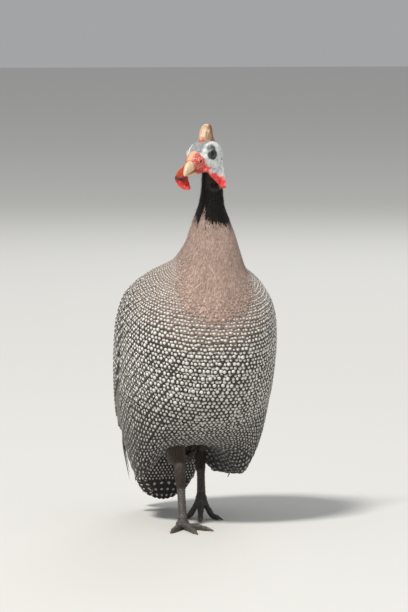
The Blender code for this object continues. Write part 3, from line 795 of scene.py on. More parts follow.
UPPER_BILL = np.array([
    (0.0100, -0.0080, 0.0085, 0.0080), (0.0190, -0.0086, 0.0082, 0.0072),
    (0.0276, -0.0110, 0.0068, 0.0060), (0.0344, -0.0138, 0.0049, 0.0044),
    (0.0390, -0.0168, 0.0030, 0.0027), (0.0414, -0.0198, 0.0010, 0.0010),
])
LOWER_BILL = np.array([
    (0.0060, -0.0200, 0.0033, 0.0084), (0.0170, -0.0200, 0.0030, 0.0066),
    (0.0270, -0.0202, 0.0024, 0.0047), (0.0345, -0.0204, 0.0014, 0.0024),
])
CERE = np.array([
    (0.0110, -0.0040, 0.0112, 0.0128), (0.0160, -0.0050, 0.0104, 0.0114),
    (0.0210, -0.0066, 0.0092, 0.0098), (0.0256, -0.0088, 0.0073, 0.0079),
])
EYE_RADIUS, EYE_SIDE, EYE_UP = 0.0066, 0.0131, -0.0005
WATTLES = {
    "left": {"root": (0.0050, 0.0140, -0.0165), "flare": 0.24, "splay": 0.003, "bulge": 0.001, "curl": 0.0},
    "right": {"root": (0.0060, 0.0115, -0.0165), "lean": -0.06, "flare": 0.27, "splay": -0.0036,
              "bulge": 0.011, "curl": 0.005},
}
WATTLE_THICK, WATTLE_LENGTH, WATTLE_BREADTH, WATTLE_CUP = 0.0018, 0.0290, 0.0215, 0.0026

HEAD_AXES = np.array(Matrix.Rotation(-HEAD_TURN, 3, "Z") @ Matrix.Rotation(HEAD_DROP, 3, "X"))


def from_head(along, side, up):
    """Head distances to points of the bird."""
    return np.stack(np.broadcast_arrays(side, -along, up), -1) @ HEAD_AXES.T + np.array(HEAD_PLACE)


def to_head(points):
    """Points of the bird to head distances: along, side and up."""
    own_axes = (points - np.array(HEAD_PLACE)) @ HEAD_AXES
    return -own_axes[..., 1], own_axes[..., 0], own_axes[..., 2]


def bill_points(rows, count, sides, shape=1.0):
    """Rings square to a bent path in the head's midplane: half height times the cosine
    across the path and half width times the sine sideways."""
    t = np.linspace(0, len(rows) - 1, count)
    row, before, after = (smooth_rows(rows, t + k).T[..., None] for k in (0, -0.1, 0.1))
    slope = np.arctan2(after[1] - before[1], after[0] - before[0])
    turn = np.linspace(0, 2 * np.pi, sides + 1)[None, :-1]
    rise = row[2] * np.cos(turn)
    wide = row[3] * blunt(np.sin(turn), shape)
    return row[0] - rise * np.sin(slope), wide, row[1] + rise * np.cos(slope)


# %% [markdown]
# ## Skin of the head
# The bare head is one soft form: skull, brows, eyelids, cere, cheeks, wattles and throat run
# into each other. Each is first a simple closed shell. A voxel remesh then melts the shells
# into one skin, a little smoothing rounds the joins, and noise adds fine folds.

# %% Shells of the head
SKULL_BLUNT = 0.84


def skull_ovals(t, turn):
    """Places along, to the side and up on the squared-off ovals of the HEAD table."""
    along, top, under, width = np.moveaxis(smooth_rows(HEAD, t), -1, 0)
    up = (top + under) / 2 + (top - under) / 2 * blunt(np.cos(turn), SKULL_BLUNT)
    return along, width * blunt(np.sin(turn), SKULL_BLUNT), up


def skull_shell():
    """The skull: a loft of squared-off ovals. Round each eye the side is pressed in, so that
    the lids can stand round the eyeball, and the brow and cheek are pushed out."""
    along, side, up = skull_ovals(*rings(0, len(HEAD) - 1, 90, 120))
    from_eye = np.hypot(along, up - EYE_UP)
    away = np.abs(side)
    socket = 0.0148 + 0.0030 * fade(from_eye, 0.0048, 0.0064) + 0.0030 * fade(from_eye, 0.0064, 0.0120)
    away = np.where(from_eye < 0.0120, np.minimum(away, socket), away)
    lift = fade(away, 0.006, 0.012)
    brow = bell(along, -0.001, 0.0085) * bell(up, 0.0078, 0.0026)
    cheek = bell(along, -0.004, 0.011) * bell(up, -0.0125, 0.0042)
    away = away + lift * (0.0014 * brow + 0.0009 * cheek)
    return shell(from_head(along, np.copysign(away, side), up))


def ring_shell(side, centre, radii, thick, tilt=0.0, rise=0.0):
    """A ring of skin round an opening in the side of the head, such as the eyelids: a bent
    tube whose middle runs round an oval, and whose depth follows a round eyeball."""
    angle, turn = np.linspace(0, 2 * np.pi, 49)[:-1, None], np.linspace(0, 2 * np.pi, 17)[None, :-1]
    fat = thick * (1 + 0.35 * np.clip(np.sin(angle), 0, 1))
    flat = 1.15 * fat * np.cos(turn)
    along = centre[0] + (radii[0] + flat) * np.cos(angle + tilt)
    up = centre[2] + (radii[1] + flat) * np.sin(angle + tilt)
    away = centre[1] + fat * np.sin(turn) + rise * np.sin(angle)
    grid = from_head(along, side * away, up)
    index = np.arange(grid[..., 0].size).reshape(grid.shape[:2])
    near, far = np.roll(index, -1, 1), np.roll(index, -1, 0)
    quads = np.stack([index, near, np.roll(near, -1, 0), far], -1).reshape(-1, 4)
    return face_out(grid.reshape(-1, 3), [quads])


def blob_shell(side, centre, radii):
    """A small swelling of skin: an egg shape from sines and cosines of two angles."""
    up_angle, turn = rings(0.06, np.pi - 0.06, 14, 20)
    return shell(from_head(centre[0] + radii[0] * np.sin(up_angle) * np.cos(turn),
                           side * (centre[1] + radii[1] * np.sin(up_angle) * np.sin(turn)),
                           centre[2] + radii[2] * np.cos(up_angle)))


def wattle_leaf(side, shape, u, v):
    """A wattle's middle surface: u runs across from -1 to 1 and v down from 0 to 1. The left
    one is a triangle between a steep rear edge and a slanting front edge. The right one is
    a rounded lobe. Both flare outwards and cup."""
    along, out, up = shape["root"]
    if side > 0:
        front, rear = 0.0165 - 0.0258 * v**1.25, -0.0195 + 0.0108 * v
        half = np.maximum((front - rear) / 2, 0.0009)
        ahead = (front + rear) / 2 + u * half
    else:
        half = 0.5 * WATTLE_BREADTH * (1 - v**2.2) ** 0.6 + 0.0022
        ahead = along - shape["lean"] * v**1.6 * WATTLE_LENGTH + u * half
    away = out + shape["flare"] * v * WATTLE_LENGTH + shape["bulge"] * np.sin(np.pi * v)
    away = away + WATTLE_CUP * u * u - shape["splay"] * u * (0.3 + 0.7 * v)
    height = up - v * WATTLE_LENGTH + shape["curl"] * u * u * (1 - 0.6 * v)
    return from_head(ahead, side * away, height)


def wattle_shell(side, shape):
    """The wattle's leaf with a thickness that thins to its rim, closed all round."""
    u, v = np.meshgrid(np.linspace(-1, 1, 44), np.linspace(0, 1, 52), indexing="xy")
    leaf = wattle_leaf(side, shape, u, v)
    normal = unit(np.cross(np.gradient(leaf, axis=1), np.gradient(leaf, axis=0)))
    rim = np.maximum(np.abs(u), v) ** 6
    half = (WATTLE_THICK * 0.62 * (1 - 0.5 * rim))[..., None]
    ripple = (0.00035 * np.sin(9.0 * v + 3.0 * u) * (1 - rim))[..., None]
    front, back = leaf + normal * (half + ripple), leaf - normal * (half - ripple)
    top = np.arange(u.size).reshape(u.shape)
    low = top + u.size
    edge = np.concatenate([top[0, :-1], top[:-1, -1], top[-1, :0:-1], top[:0:-1, 0]])
    after = np.roll(edge, -1)
    wall = np.stack([after, edge, edge + u.size, after + u.size], -1)
    faces = np.concatenate([grid_quads(top), grid_quads(low)[:, ::-1], wall])
    return face_out(np.concatenate([front.reshape(-1, 3), back.reshape(-1, 3)]), [faces])


def neck_shell(start, end, under):
    """The upper neck: the body's own shape made thinner by the depth of its hairs, with a
    fold of loose skin across the throat."""
    t, turn = rings(start, end, 150, 128)
    points = body_points(t, turn, -under)
    outwards = unit(points - points.mean(1, keepdims=True))
    fold = 0.0022 * bell(t, 1.02, 0.10) - 0.0012 * bell(t, 0.78, 0.12)
    return shell(points + outwards * (fold * bell(turn, np.pi, 0.6))[..., None])


cere_along, cere_side, cere_up = bill_points(CERE, 30, 64)
swell = 0.88 + 0.05 * np.sin(np.linspace(0, np.pi, 30))[:, None]
head_shells = [
    skull_shell(), neck_shell(0.0, 3.5, 0.0012),
    shell(from_head(cere_along, cere_side * swell, cere_up)),
]
for side_name, side in SIDES.items():
    head_shells += [
        ring_shell(side, (0.0, 0.0172, EYE_UP), (0.0058, 0.0056), 0.00100, rise=0.0002),
        ring_shell(side, (-0.0205, 0.0152, -0.0105), (0.0024, 0.0028), 0.00085),
        ring_shell(side, (0.0175, 0.0103, -0.0055), (0.0036, 0.0022), 0.00080, tilt=-0.5),
        blob_shell(side, (0.0100, 0.0118, -0.0180), (0.0062, 0.0034, 0.0024)),
        blob_shell(side, (0.0180, 0.0096, -0.0085), (0.0026, 0.0020, 0.0016)),
        wattle_shell(side, WATTLES[side_name]),
    ]


# %% Melt the shells into one skin
HEAD_VOXEL, LEG_VOXEL = 0.00068, 0.00108


def read_back(made):
    """Points, outward directions and faces of an object once its modifiers have run. The
    faces come as one array for each number of corners."""
    def read(items, key, width, kind):
        """One kind of value of all items, as one array."""
        values = np.empty(len(items) * width, kind)
        items.foreach_get(key, values)
        return values
    ready = made.evaluated_get(bpy.context.evaluated_depsgraph_get()).to_mesh()
    points = read(ready.vertices, "co", 3, np.float32).reshape(-1, 3).astype(float)
    normals = read(ready.vertices, "normal", 3, np.float32).reshape(-1, 3).astype(float)
    corners = read(ready.loops, "vertex_index", 1, np.int32)
    sizes = read(ready.polygons, "loop_total", 1, np.int32)
    starts = np.cumsum(sizes) - sizes
    faces = [corners[starts[sizes == n][:, None] + np.arange(n)] for n in np.unique(sizes)]
    return points + CENTRE, normals, faces


def melt(name, shells, voxel, rounds):
    """Join closed shells, remesh them on a grid of voxels, smooth the result, and give back
    its points, outward directions and four-cornered faces."""
    rough = put_mesh(name, *join_shells(shells))
    remesh = rough.modifiers.new("melt", "REMESH")
    remesh.mode, remesh.voxel_size = "VOXEL", voxel
    relax = rough.modifiers.new("relax", "SMOOTH")
    relax.factor, relax.iterations = 0.5, rounds
    made = read_back(rough)
    bpy.data.objects.remove(rough, do_unlink=True)
    return made


head_points, head_normals, head_faces = melt("head_rough", head_shells, HEAD_VOXEL, 4)
folds = 0.00016 * noise(head_points, 0.0021, 3) + 0.00010 * noise(head_points, 0.0009, 4)
along, _, up = to_head(head_points)
low_face = fade(-up, 0.012, 0.018)
from_eye = np.hypot(along, up - EYE_UP)
round_eye = fade(from_eye, 0.0066, 0.008) * (1 - fade(from_eye, 0.011, 0.014))
folds += 0.00011 * np.sin(from_eye * 3700 + 2.5 * noise(head_points, 0.004, 5)) * round_eye
head_points = head_points + head_normals * (folds * (1 + 0.8 * low_face))[:, None]
print("head skin:", len(head_faces[0]), "faces")

# %% [markdown]
# ## Skin of the legs and the body
# Thighs, shanks and toes are tubes along a path, melted together in the same way. The soles
# are pressed flat again afterwards, because the bird stands on them. The body under the
# feathers can be coarser: it's a closed loft as deep inside the outline as the coat is thick.

# %% Legs and feet
def foot_frame(side_name):
    """The foot's centre, and its forward direction on the floor."""
    turn = FOOT_TURN[side_name]
    return SHANKS[side_name][-1, :3], np.array([math.sin(turn), -math.cos(turn), 0.0])


def toe_rows(side_name, angle, length, base, tip):
    """The path of one toe, as rows of place and radius: along the floor, or down to it from
    the raised foot, with a slight arch."""
    centre, ahead = foot_frame(side_name)
    turn = math.radians(angle) * SIDES[side_name]
    away = np.array([ahead[0] * math.cos(turn) - ahead[1] * math.sin(turn),
                     ahead[0] * math.sin(turn) + ahead[1] * math.cos(turn), 0.0])
    start = SOLE_HEIGHT + 0.0012 if side_name == "right" else centre[2] - 0.003
    share = np.linspace(0, 1, 6)
    drop = np.maximum(1 - share / 0.62, 0.0) ** 1.25
    arch = 0.0016 * np.sin(np.pi * np.minimum(share * 1.1, 1.0))
    height = SOLE_HEIGHT + (start - SOLE_HEIGHT) * drop + arch * (1 - drop)
    place = centre + away * (0.004 + share * length)[:, None]
    return np.column_stack([place[:, :2], height, base + (tip - base) * share]), away


def nail_rows(end, away, share, reach, rise):
    """The path of a claw from a toe's last row: ever thinner, and out by its reach."""
    radius = end[3] * (0.86 - 0.62 * share)
    return np.column_stack([end[:2] + away[:2] * reach[:, None], end[2] + rise, radius])


def hallux_rows(side_name):
    """The paths of the short hind toe and of its claw."""
    x, y, z, _ = smooth_rows(SHANKS[side_name], 3.35)
    _, ahead = foot_frame(side_name)
    away = unit(np.array([-SIDES[side_name] * 0.35, 0, 0]) - ahead)
    share = np.linspace(0, 1, 4)
    reach = 0.003 + HALLUX_LENGTH * share
    toe = np.column_stack([x + away[0] * reach, y + away[1] * reach, z - 0.0055 * share**1.5,
                           0.0034 - 0.0009 * share])
    return toe, nail_rows(toe[-1], away, share, 0.0070 * share - 0.001, -0.0026 * share)


def knuckles(count):
    """A swelling over each joint of a toe, as a factor on its radius."""
    return lambda share: 1 + 0.10 * np.cos(2 * np.pi * count * share)


def pad_shell(side_name):
    """The fleshy pad where the toes meet, flat below, and tipped on the raised foot."""
    centre, ahead = foot_frame(side_name)
    raised = side_name == "left"
    v, turn = rings(0.05, np.pi - 0.05, 24, 32)
    broad, tall = (0.0078, 0.0056) if raised else (0.0092, 0.0066)
    ring = broad * np.sin(v)
    ball = np.stack([ring * np.cos(turn), ring * np.sin(turn), tall * np.cos(v)], -1)
    tilt = np.array(Matrix.Rotation(math.radians(38 if raised else 0), 3, Vector((ahead[1], -ahead[0], 0))))
    ball = ball @ tilt.T + np.array([centre[0], centre[1], centre[2] - 0.0025 if raised else 0.0056])
    ball[..., 2] = np.maximum(ball[..., 2], 0.0)
    return shell(ball)


leg_shells = []
for side_name in SIDES:
    thigh = THIGHS[side_name].copy()
    thigh[:, 3] -= np.array([0.0030, 0.0030, 0.0022, 0.0008])
    leg_shells += [shell(tube_points(thigh, 60, 48)), shell(tube_points(SHANKS[side_name], 90, 32)),
                   pad_shell(side_name), shell(tube_points(hallux_rows(side_name)[0], 24, 20))]
    for toe_name, sizes in TOES.items():
        rows = toe_rows(side_name, *sizes)[0]
        leg_shells.append(shell(tube_points(rows, 50, 24, 0.0, knuckles(3 if toe_name == "middle" else 2))))
leg_points, leg_normals, leg_faces = melt("legs_rough", leg_shells, LEG_VOXEL, 6)
leg_points = leg_points + leg_normals * (0.00010 * noise(leg_points, 0.0011, 8))[:, None]
leg_points[:, 2] = np.where(leg_points[:, 2] < 0.0007, 0.0, leg_points[:, 2])
print("leg skin:", len(leg_faces[0]), "faces")


# %% The whole skin
def coat_depth(t):
    """How far under the outline the skin lies: a millimetre on the neck, more on the body."""
    return 0.0012 + 0.0040 * fade(t, 3.4, 7.0)


def body_shell():
    """The body's skin, from the lower neck to the vent, inside the coat."""
    t, turn = rings(2.9, BODY_END - 0.15, 84, 96)
    points = body_points(t, turn)
    normal = unit(np.cross(np.roll(points, -1, 1) - np.roll(points, 1, 1), np.gradient(points, axis=0)))
    return shell(points - normal * coat_depth(t)[..., None])


tail_core = shell(tail_points(*rings(0.15, 4.45, 40, 48), 0.0035))


def unite(name, parts):
    """One closed mesh from overlapping ones, by a union, as points and faces."""
    made = [put_mesh(f"{name}_{k}", points, faces) for k, (points, faces) in enumerate(parts)]
    for other in made[1:]:
        change = made[0].modifiers.new("union", "BOOLEAN")
        change.operation, change.solver, change.object = "UNION", "MANIFOLD", other
    points, _, faces = read_back(made[0])
    for item in made:
        bpy.data.objects.remove(item, do_unlink=True)
    return points, faces


skin_points, skin_faces = unite("skin_part", [body_shell(), tail_core, (head_points, head_faces),
                                              (leg_points, leg_faces)])
print("skin:", len(skin_points), "points in faces of", sorted(f.shape[1] for f in skin_faces), "corners")


# %% Colours of the skin
BATCH = 4000


def nearest(points, samples):
    """For each point, the distance to the nearest sample and that sample's number. The points
    are taken in batches, to save memory."""
    distance, index = np.empty(len(points)), np.empty(len(points), int)
    for start in range(0, len(points), BATCH):
        part = slice(start, start + BATCH)
        square = ((points[part, None] - samples[None]) ** 2).sum(2)
        index[part], distance[part] = square.argmin(1), np.sqrt(square.min(1))
    return distance, index


def wattle_values(points, along, away, wavy):
    """How far each point lies on a wattle, is red, takes painted light on the far wattle's upper
    lobe and painted shade in its cup: the leaf of each wattle is a grid of samples, and a point
    takes its values from the nearest one."""
    leaf_u, leaf_v = (g.ravel() for g in np.meshgrid(np.linspace(-1, 1, 25), np.linspace(0, 1, 33)))
    red, on_wattle, inner, lit_lobe = np.zeros((4, len(points)))
    close = np.where((points[:, 2] > 0.424) & (along > -0.045))[0]
    for side_name, sign in SIDES.items():
        distance, index = nearest(points[close], wattle_leaf(sign, WATTLES[side_name], leaf_u, leaf_v))
        down, across = leaf_v[index], leaf_u[index]
        here = 1 - fade(distance, 0.0019, 0.0026)
        here = here * np.where(down > 0.35, fade(away[close], 0.0150, 0.0165), 1.0)
        on_wattle[close] = np.maximum(on_wattle[close], here * fade(down, 0.02, 0.10))
        if side_name == "left":
            tint = fade(down + 0.24 * across + 120 * wavy[close], 0.14, 0.50)
            tint = np.maximum(tint, fade(across, 0.66, 0.90))
        else:
            tint = np.ones(len(close))
            # painted shade: a dark band across the inside of the far wattle's cup.
            cup_shade = bell(down, 0.52, 0.10) * fade(across + 0.5 * down, -0.30, 0.10)
            inner[close] = np.maximum(inner[close], 0.9 * here * cup_shade)
            # painted light: the far wattle's upper lobe is lightened to orange.
            lit_lobe[close] = np.maximum(lit_lobe[close], here * (1 - fade(down, 0.30, 0.45)))
        red[close] = np.maximum(red[close], fade(here, 0.0, 0.3) * fade(down, 0.0, 0.05) * tint)
    return on_wattle, red, lit_lobe, inner


def dusky_values(points, along, away, up, on_wattle, wavy, left):
    """How dusky each point of the face is: on the lids, in the shade over the eye, and along the
    fold across the cheek, where a dark line is painted shade."""
    lid = 1 - fade(np.hypot(along / np.where(left, 1.22, 1.0), up - EYE_UP), 0.0060, 0.0074)
    lid = lid * fade(away, 0.012, 0.014) * np.where(left, 1.0, 0.6)
    shade = np.exp(-(((along + 0.0012) / 0.0072) ** 4) - (((up - 0.0076) / 0.0042) ** 4))
    shade = shade * fade(away, 0.010, 0.013) * (0.90 + 0.45 * noise(points, 0.0011, 12))
    # painted shade: a dark line along the fold across the cheek
    crease_shade = bell(up - 0.12 * along + 0.8 * wavy, -0.0128, 0.0009) * fade(-along, 0.002, 0.006)
    crease_shade = crease_shade * (1 - fade(-along, 0.017, 0.021)) * fade(away, 0.010, 0.012) * (1 - on_wattle)
    return np.clip(np.maximum(np.maximum(lid, shade), 0.4 * crease_shade), 0, 1)


def skin_values(points):
    """How much of each layer of the skin finish a point has, from its place on the head, neck,
    body and legs. Each is a product of smooth steps, and noise makes their edges wavy."""
    along, side, up = to_head(points)
    away, height = np.abs(side), points[:, 2]
    wavy = 0.0012 * noise(points, 0.004, 11)
    on_wattle, red, lit_lobe, inner = wattle_values(points, along, away, wavy)
    off_wattle = 1 - on_wattle
    head = np.maximum(fade(height, 0.44, 0.446) * fade(along, -0.045, -0.040), on_wattle)
    edge = along - 0.36 * (up + 0.012) + wavy
    cere = fade(edge, 0.0082, 0.0108) * fade(up + 0.9 * wavy, -0.0235, -0.0205) * off_wattle
    culmen = fade(along, 0.0125, 0.0170) * (1 - fade(away + 0.6 * wavy, 0.0026, 0.0052))
    culmen = culmen * fade(up, -0.012, -0.008)
    gape = bell(along, 0.0085, 0.0050) * bell(up, -0.0180, 0.0026) * fade(away, 0.008, 0.011)
    red = np.maximum(red, np.clip(1.7 * gape, 0, 1) * off_wattle)
    throat = fade(-up + 1.5 * wavy, 0.0205, 0.0232) * off_wattle * (1 - fade(along, 0.009, 0.013))
    nape = fade(-along + 2.5 * wavy + 0.002 * noise(points, 0.0016, 13), 0.0275, 0.0320)
    nape = nape * fade(-up, -0.004, 0.004)
    neck = 1 - fade(height, 0.446, 0.452)
    black = np.clip(np.maximum(np.maximum(throat, nape), neck), 0, 1) * off_wattle
    crown = fade(up + wavy, 0.0015, 0.0050) * (1 - fade(away + wavy, 0.0078, 0.0108)) * (1 - cere)
    dusky = dusky_values(points, along, away, up, on_wattle, wavy, side > 0)
    orange = fade(-along, 0.0250, 0.0285) * fade(up, 0.004, 0.0075)
    ear = 1 - fade(np.hypot(along + 0.0205, (up + 0.0105) * 0.9), 0.0014, 0.0022)
    slit_along, slit_up = along - 0.0175, up + 0.0055 + 0.45 * (along - 0.0175)
    nostril = 1 - fade(np.hypot(slit_along * 0.62, slit_up), 0.0009, 0.0015)
    # painted shade: the ear and nostril openings are painted dark.
    opening_shade = np.maximum(ear * fade(away, 0.010, 0.012), nostril * fade(away, 0.006, 0.008))
    body, collar = 1 - fade(height, 0.386, 0.392), fade(height, 0.300, 0.330)
    legs = (1 - fade(height, 0.086, 0.094)) * (points[:, 1] < 0.105)
    on_head = {"crown": crown, "dusky": dusky, "orange": orange, "pink": cere, "horn": 0.85 * culmen,
               "red": red, "opening_shade": opening_shade}
    elsewhere = {"lit_lobe": 0.6 * lit_lobe, "cup_shade": inner, "black": black * (1 - body), "lilac": body * collar,
                 "plume": body * (1 - collar) * (1 - legs), "scaly": legs}
    return {name: value * head for name, value in on_head.items()} | elsewhere


skin = put_mesh("skin", skin_points, skin_faces, values=skin_values(skin_points), finish=bare_skin)
flesh = [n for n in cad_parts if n.split("_")[0] in
         ("trunk", "neck", "head", "cere", "wattle", "wing", "thigh", "tail", "shank", "foot", "toe")]
own(skin, "face_skin", *flesh)

# %% [markdown]
# ## Eyes, casque and bill
# These are hard and shiny where the skin is soft, so they're pieces of their own. The
# eyeball is a sphere whose front bulges a little, and each point keeps its angle from the
# line of sight, which places the pupil and the iris.

# %% Eyes
def eyeball(side_name, side):
    """A ball whose rings run round the line of sight. Its radius grows by a bell curve of
    the angle from that line, which makes the cornea."""
    sight = unit(np.array([0.24, side * 0.97, 0.04]))
    up = unit(np.cross(sight, np.cross(np.array([0.0, 0.0, 1.0]), sight)))
    out = np.cross(sight, up)
    angle, turn = (g[1:-1] for g in rings(0.0, np.pi, 49, 64))
    radius = EYE_RADIUS * (1 + 0.045 * bell(angle, 0.0, 0.55))
    ball = (np.cos(angle)[..., None] * sight + np.sin(angle)[..., None]
            * (np.cos(turn)[..., None] * up + np.sin(turn)[..., None] * out)) * radius[..., None]
    ball += np.array([0.0, side * EYE_SIDE, EYE_UP])
    points, faces = shell(from_head(ball[..., 0], ball[..., 1], ball[..., 2]))
    values = np.append(angle, [0.0, np.pi])
    own(put_mesh(f"eyeball_{side_name}", points, faces, values={"sight": values}, finish=wet_eye), "eye",
        f"eye_{side_name}")


for side_name, side in SIDES.items():
    eyeball(side_name, side)

# %% Casque
t, turn = rings(0, len(CASQUE) - 1, 96, 128)
up, along, length, width = np.moveaxis(smooth_rows(CASQUE, t), -1, 0)
taper = np.sqrt(np.clip(1 - fade(t, 5.4, 6.0) ** 2, 0.02, 1))
casque_grid = from_head(along + length * taper * np.cos(turn), width * taper * np.sin(turn), up)
flat = casque_grid.reshape(-1, 3)
outwards = unit(casque_grid - casque_grid.mean(1, keepdims=True))
knobs = sum(high * noise(flat, size, seed) for high, size, seed in
            ((0.00055, 0.0042, 21), (0.00032, 0.0017, 22), (0.00014, 0.0008, 23)))
ridges = 0.00022 * np.sin(11 * turn + 2.0 * np.sin(1.3 * t))
rough = (knobs.reshape(t.shape) + ridges) * (0.4 + 0.6 * fade(t, 0.0, 0.8))
casque_points, casque_faces = shell(casque_grid + outwards * rough[..., None])
from_root = t + 0.5 * noise(flat, 0.003, 24).reshape(t.shape) - 1.6 * np.clip(np.cos(turn), 0, 1) ** 3
redden = 1 - fade(from_root, -0.2, 1.2)
# painted shade: the casque's rear and left side, away from the key lamp, is painted dark brown.
away_from_key = -0.8 * np.cos(turn) + 0.45 * np.sin(turn) + 0.35 * noise(flat, 0.004, 25).reshape(t.shape)
shaded_side = fade(away_from_key, 0.05, 0.85)
casque_values = {"base": np.append(redden, [1.0, 0.0]), "shaded_side": np.append(shaded_side, [0.0, 0.5])}
casque = put_mesh("helmet_horn", casque_points, casque_faces, values=casque_values, finish=casque_horn)
own(casque, "casque_horn", "casque")


# %% Bill
def bill_piece(name, rows, node, base_end, shape):
    """One half of the bill, with fine growth lines and a reddened base."""
    grid = from_head(*bill_points(rows, 90, 96, shape))
    points, faces = shell(grid)
    wear = 0.00010 * noise(points, 0.0016, 31) + 0.00005 * noise(points, 0.0006, 32)
    outwards = np.concatenate([unit(grid - grid.mean(1, keepdims=True)).reshape(-1, 3), np.zeros((2, 3))])
    place = to_head(points)[0]
    base = 1 - fade(place + 0.0012 * noise(points, 0.002, 33), base_end - 0.004, base_end)
    own(put_mesh(name, points + outwards * wear[:, None], faces, values={"base": base}, finish=bill_horn),
        "bill_horn", node)


bill_piece("upper_bill", UPPER_BILL, "bill_upper", 0.0290, 0.86)
bill_piece("lower_bill", LOWER_BILL, "bill_lower", 0.0240, 1.0)

# %% [markdown]
# ## How a feather is made
# A feather is a thin vane. Its template is a small grid: rows from the root to the rounded
# tip, a few places across, a domed top and a flat underside between its rims, so that it is
# closed. Thousands of vanes are laid on a sheet at once, as one big array, and each keeps
# its own small patch on the OFBake map.

# %% Vanes
def vane_template(rows, across):
    """Places (u, v) and faces of one closed vane. v goes from 0 at the root to 1 at the tip,
    closer together near the tip, and u from -1 to 1 across it."""
    v = 1 - (1 - np.linspace(0, 1, rows + 1)[:-1]) ** 1.7
    u = np.linspace(-1, 1, across + 1)
    uu, vv = np.meshgrid(u, v, indexing="xy")
    places = np.concatenate([np.stack([uu.ravel(), vv.ravel()], 1), [[0.0, 1.0]]])
    g = np.arange(uu.size).reshape(uu.shape)
    tip = uu.size
    def cut(q):
        """Each four-cornered face as two triangles."""
        return np.concatenate([q[:, [0, 1, 2]], q[:, [0, 2, 3]]])
    top = cut(grid_quads(g))
    under = cut(np.stack([g[:-1, 0], g[1:, 0], g[1:, -1], g[:-1, -1]], -1))
    crown = np.stack([g[-1, :-1], g[-1, 1:], np.full(across, tip)], -1)
    close = np.array([[g[-1, 0], tip, g[-1, -1]]])
    root = np.stack([np.full(across - 1, g[0, 0]), g[0, 2:], g[0, 1:-1]], -1)
    return places, np.concatenate([top, under, crown, close, root])


ROOT_SHARE, BROADEST = 0.55, 0.45


def vane_outline(v):
    """Half width of a vane as a share of its greatest: it widens from the root, and past its
    broadest place it follows a quarter of an oval to the tip."""
    before = ROOT_SHARE + (1 - ROOT_SHARE) * fade(v, 0.0, BROADEST)
    after = np.sqrt(np.clip(1 - (np.clip(v - BROADEST, 0, 1) / (1 - BROADEST)) ** 2, 0, 1))
    return np.where(v < BROADEST, before, after)


DEPTH, TIP_HEIGHT, DOME = 0.0030, -0.0003, 0.16
FULL_HALF = 0.010
PATCH = 0.003


def vane_height(tips, side, v, depth, tip_height=TIP_HEIGHT, dome=DOME):
    """Height of places on vanes over their sheet. A vane rises in a straight line from its
    root's depth to its tip's height, less deep where it's small, is lifted by the square of
    the way along, and falls away to its rims by the square of the place across."""
    half = tips["half"][:, None]
    scale = np.clip(half / FULL_HALF, 0.35, 1.0)
    return tip_height + tips["lift"][:, None] * v**2 - depth * scale * (1 - v) - dome * half * side**2


def own_patch(a, v, own_map):
    """A small patch of the OFBake map for each shape, centred on its place on the sheet."""
    return np.stack([a, v], -1)[:, None] + (own_map - 0.5) * PATCH


def repeat_faces(faces, count, size):
    """The faces of one shape for many copies of it, each with this many points."""
    return (faces[None] + (np.arange(count) * size)[:, None, None]).reshape(-1, 3)


def make_vanes(sheet, template, tips, depth=DEPTH, tip_height=TIP_HEIGHT, dome=DOME, outline=vane_outline):
    """All vanes of one kind on a sheet. tips holds arrays: a, v, half width, length, yaw and
    lift. Gives points by vane, the faces of one vane, and both maps."""
    places, faces = template
    u, v = places[:, 0][None], places[:, 1][None]
    side = u * outline(v)
    y = -(1 - v) * tips["length"][:, None] * (1 - 0.02 * u * u)
    height = vane_height(tips, side, v, depth, tip_height, dome)
    points = sheet.lay(tips["a"], tips["v"], tips["yaw"], u * tips["half"][:, None] * outline(v), y, height)
    vane_map = np.broadcast_to(np.stack([(u[0] + 1) / 2, v[0]], -1), (*points.shape[:2], 2))
    return points, faces, vane_map, own_patch(tips["a"] % 1.0, tips["v"], vane_map)


def put_vanes(name, slot_name, finish, made, values=None, chosen=slice(None), nodes=()):
    """A piece from chosen vanes, with values by vane spread over their points."""
    points, vane_map, patch = (made[k][chosen] for k in (0, 2, 3))
    count, size = points.shape[:2]
    maps = {"vane": vane_map.reshape(-1, 2), "OFBake": patch.reshape(-1, 2)}
    spread = {k: np.repeat(v[chosen], size) for k, v in (values or {}).items()}
    piece = put_mesh(name, points.reshape(-1, 3), [repeat_faces(made[1], count, size)], maps, spread, finish)
    own(piece, slot_name, *nodes)


# %% [markdown]
# ## The feathers of the body
# Body feathers sit in rows, each row half a step to the side of the last, like roof tiles.
# The number in a row stays the same from the neck to the flanks, so feathers and the pearl
# spots on them grow with the girth, as they do on the bird. All sizes of a feather are
# counted in half steps of its row.

# %% Rows of body feathers
PITCH = 1.72
HALF_WIDTH, FEATHER_LENGTH = 1.75, 4.9
random = np.random.default_rng(7)


def near(middle, spread, count, low, high):
    """Random numbers near a middle, by a bell curve held between two ends."""
    return np.clip(middle + spread * random.normal(0, 1, count), low, high)


def tile_rows(sheet, start, end, count_at, pitch=PITCH):
    """Feather places in rows along a sheet: the next row is pitch times the half step of the
    spots further on, and every other row is half a feather to the side."""
    a, v, w, k = [], [], [], 0
    while start < end:
        count = count_at(start)
        step = sheet.girth(start) / (2 * count)
        a.append((np.arange(count) + 0.5 * (k % 2)) / count)
        v.append(np.full(count, start))
        w.append(np.full(count, step))
        start += pitch * step / sheet.mean_pace(start)
        k += 1
    return tuple(np.concatenate(x) for x in (a, v, w))


def body_count(v):
    """Feathers in a row of the body: sixty, and fewer where the body closes at the vent."""
    t = v * BODY_END
    return 60 if t < 12.7 else (44 if t < 14.4 else 30)


def in_front(a):
    """1 at the middle of the breast, less by a bell curve to the sides."""
    return bell(a, 0.5, 0.160)


def past_collar(a, t):
    """How far a place is below the collar's lower edge, in stations. The bib reaches lowest
    in front."""
    return t - (5.45 + 2.20 * in_front(a))


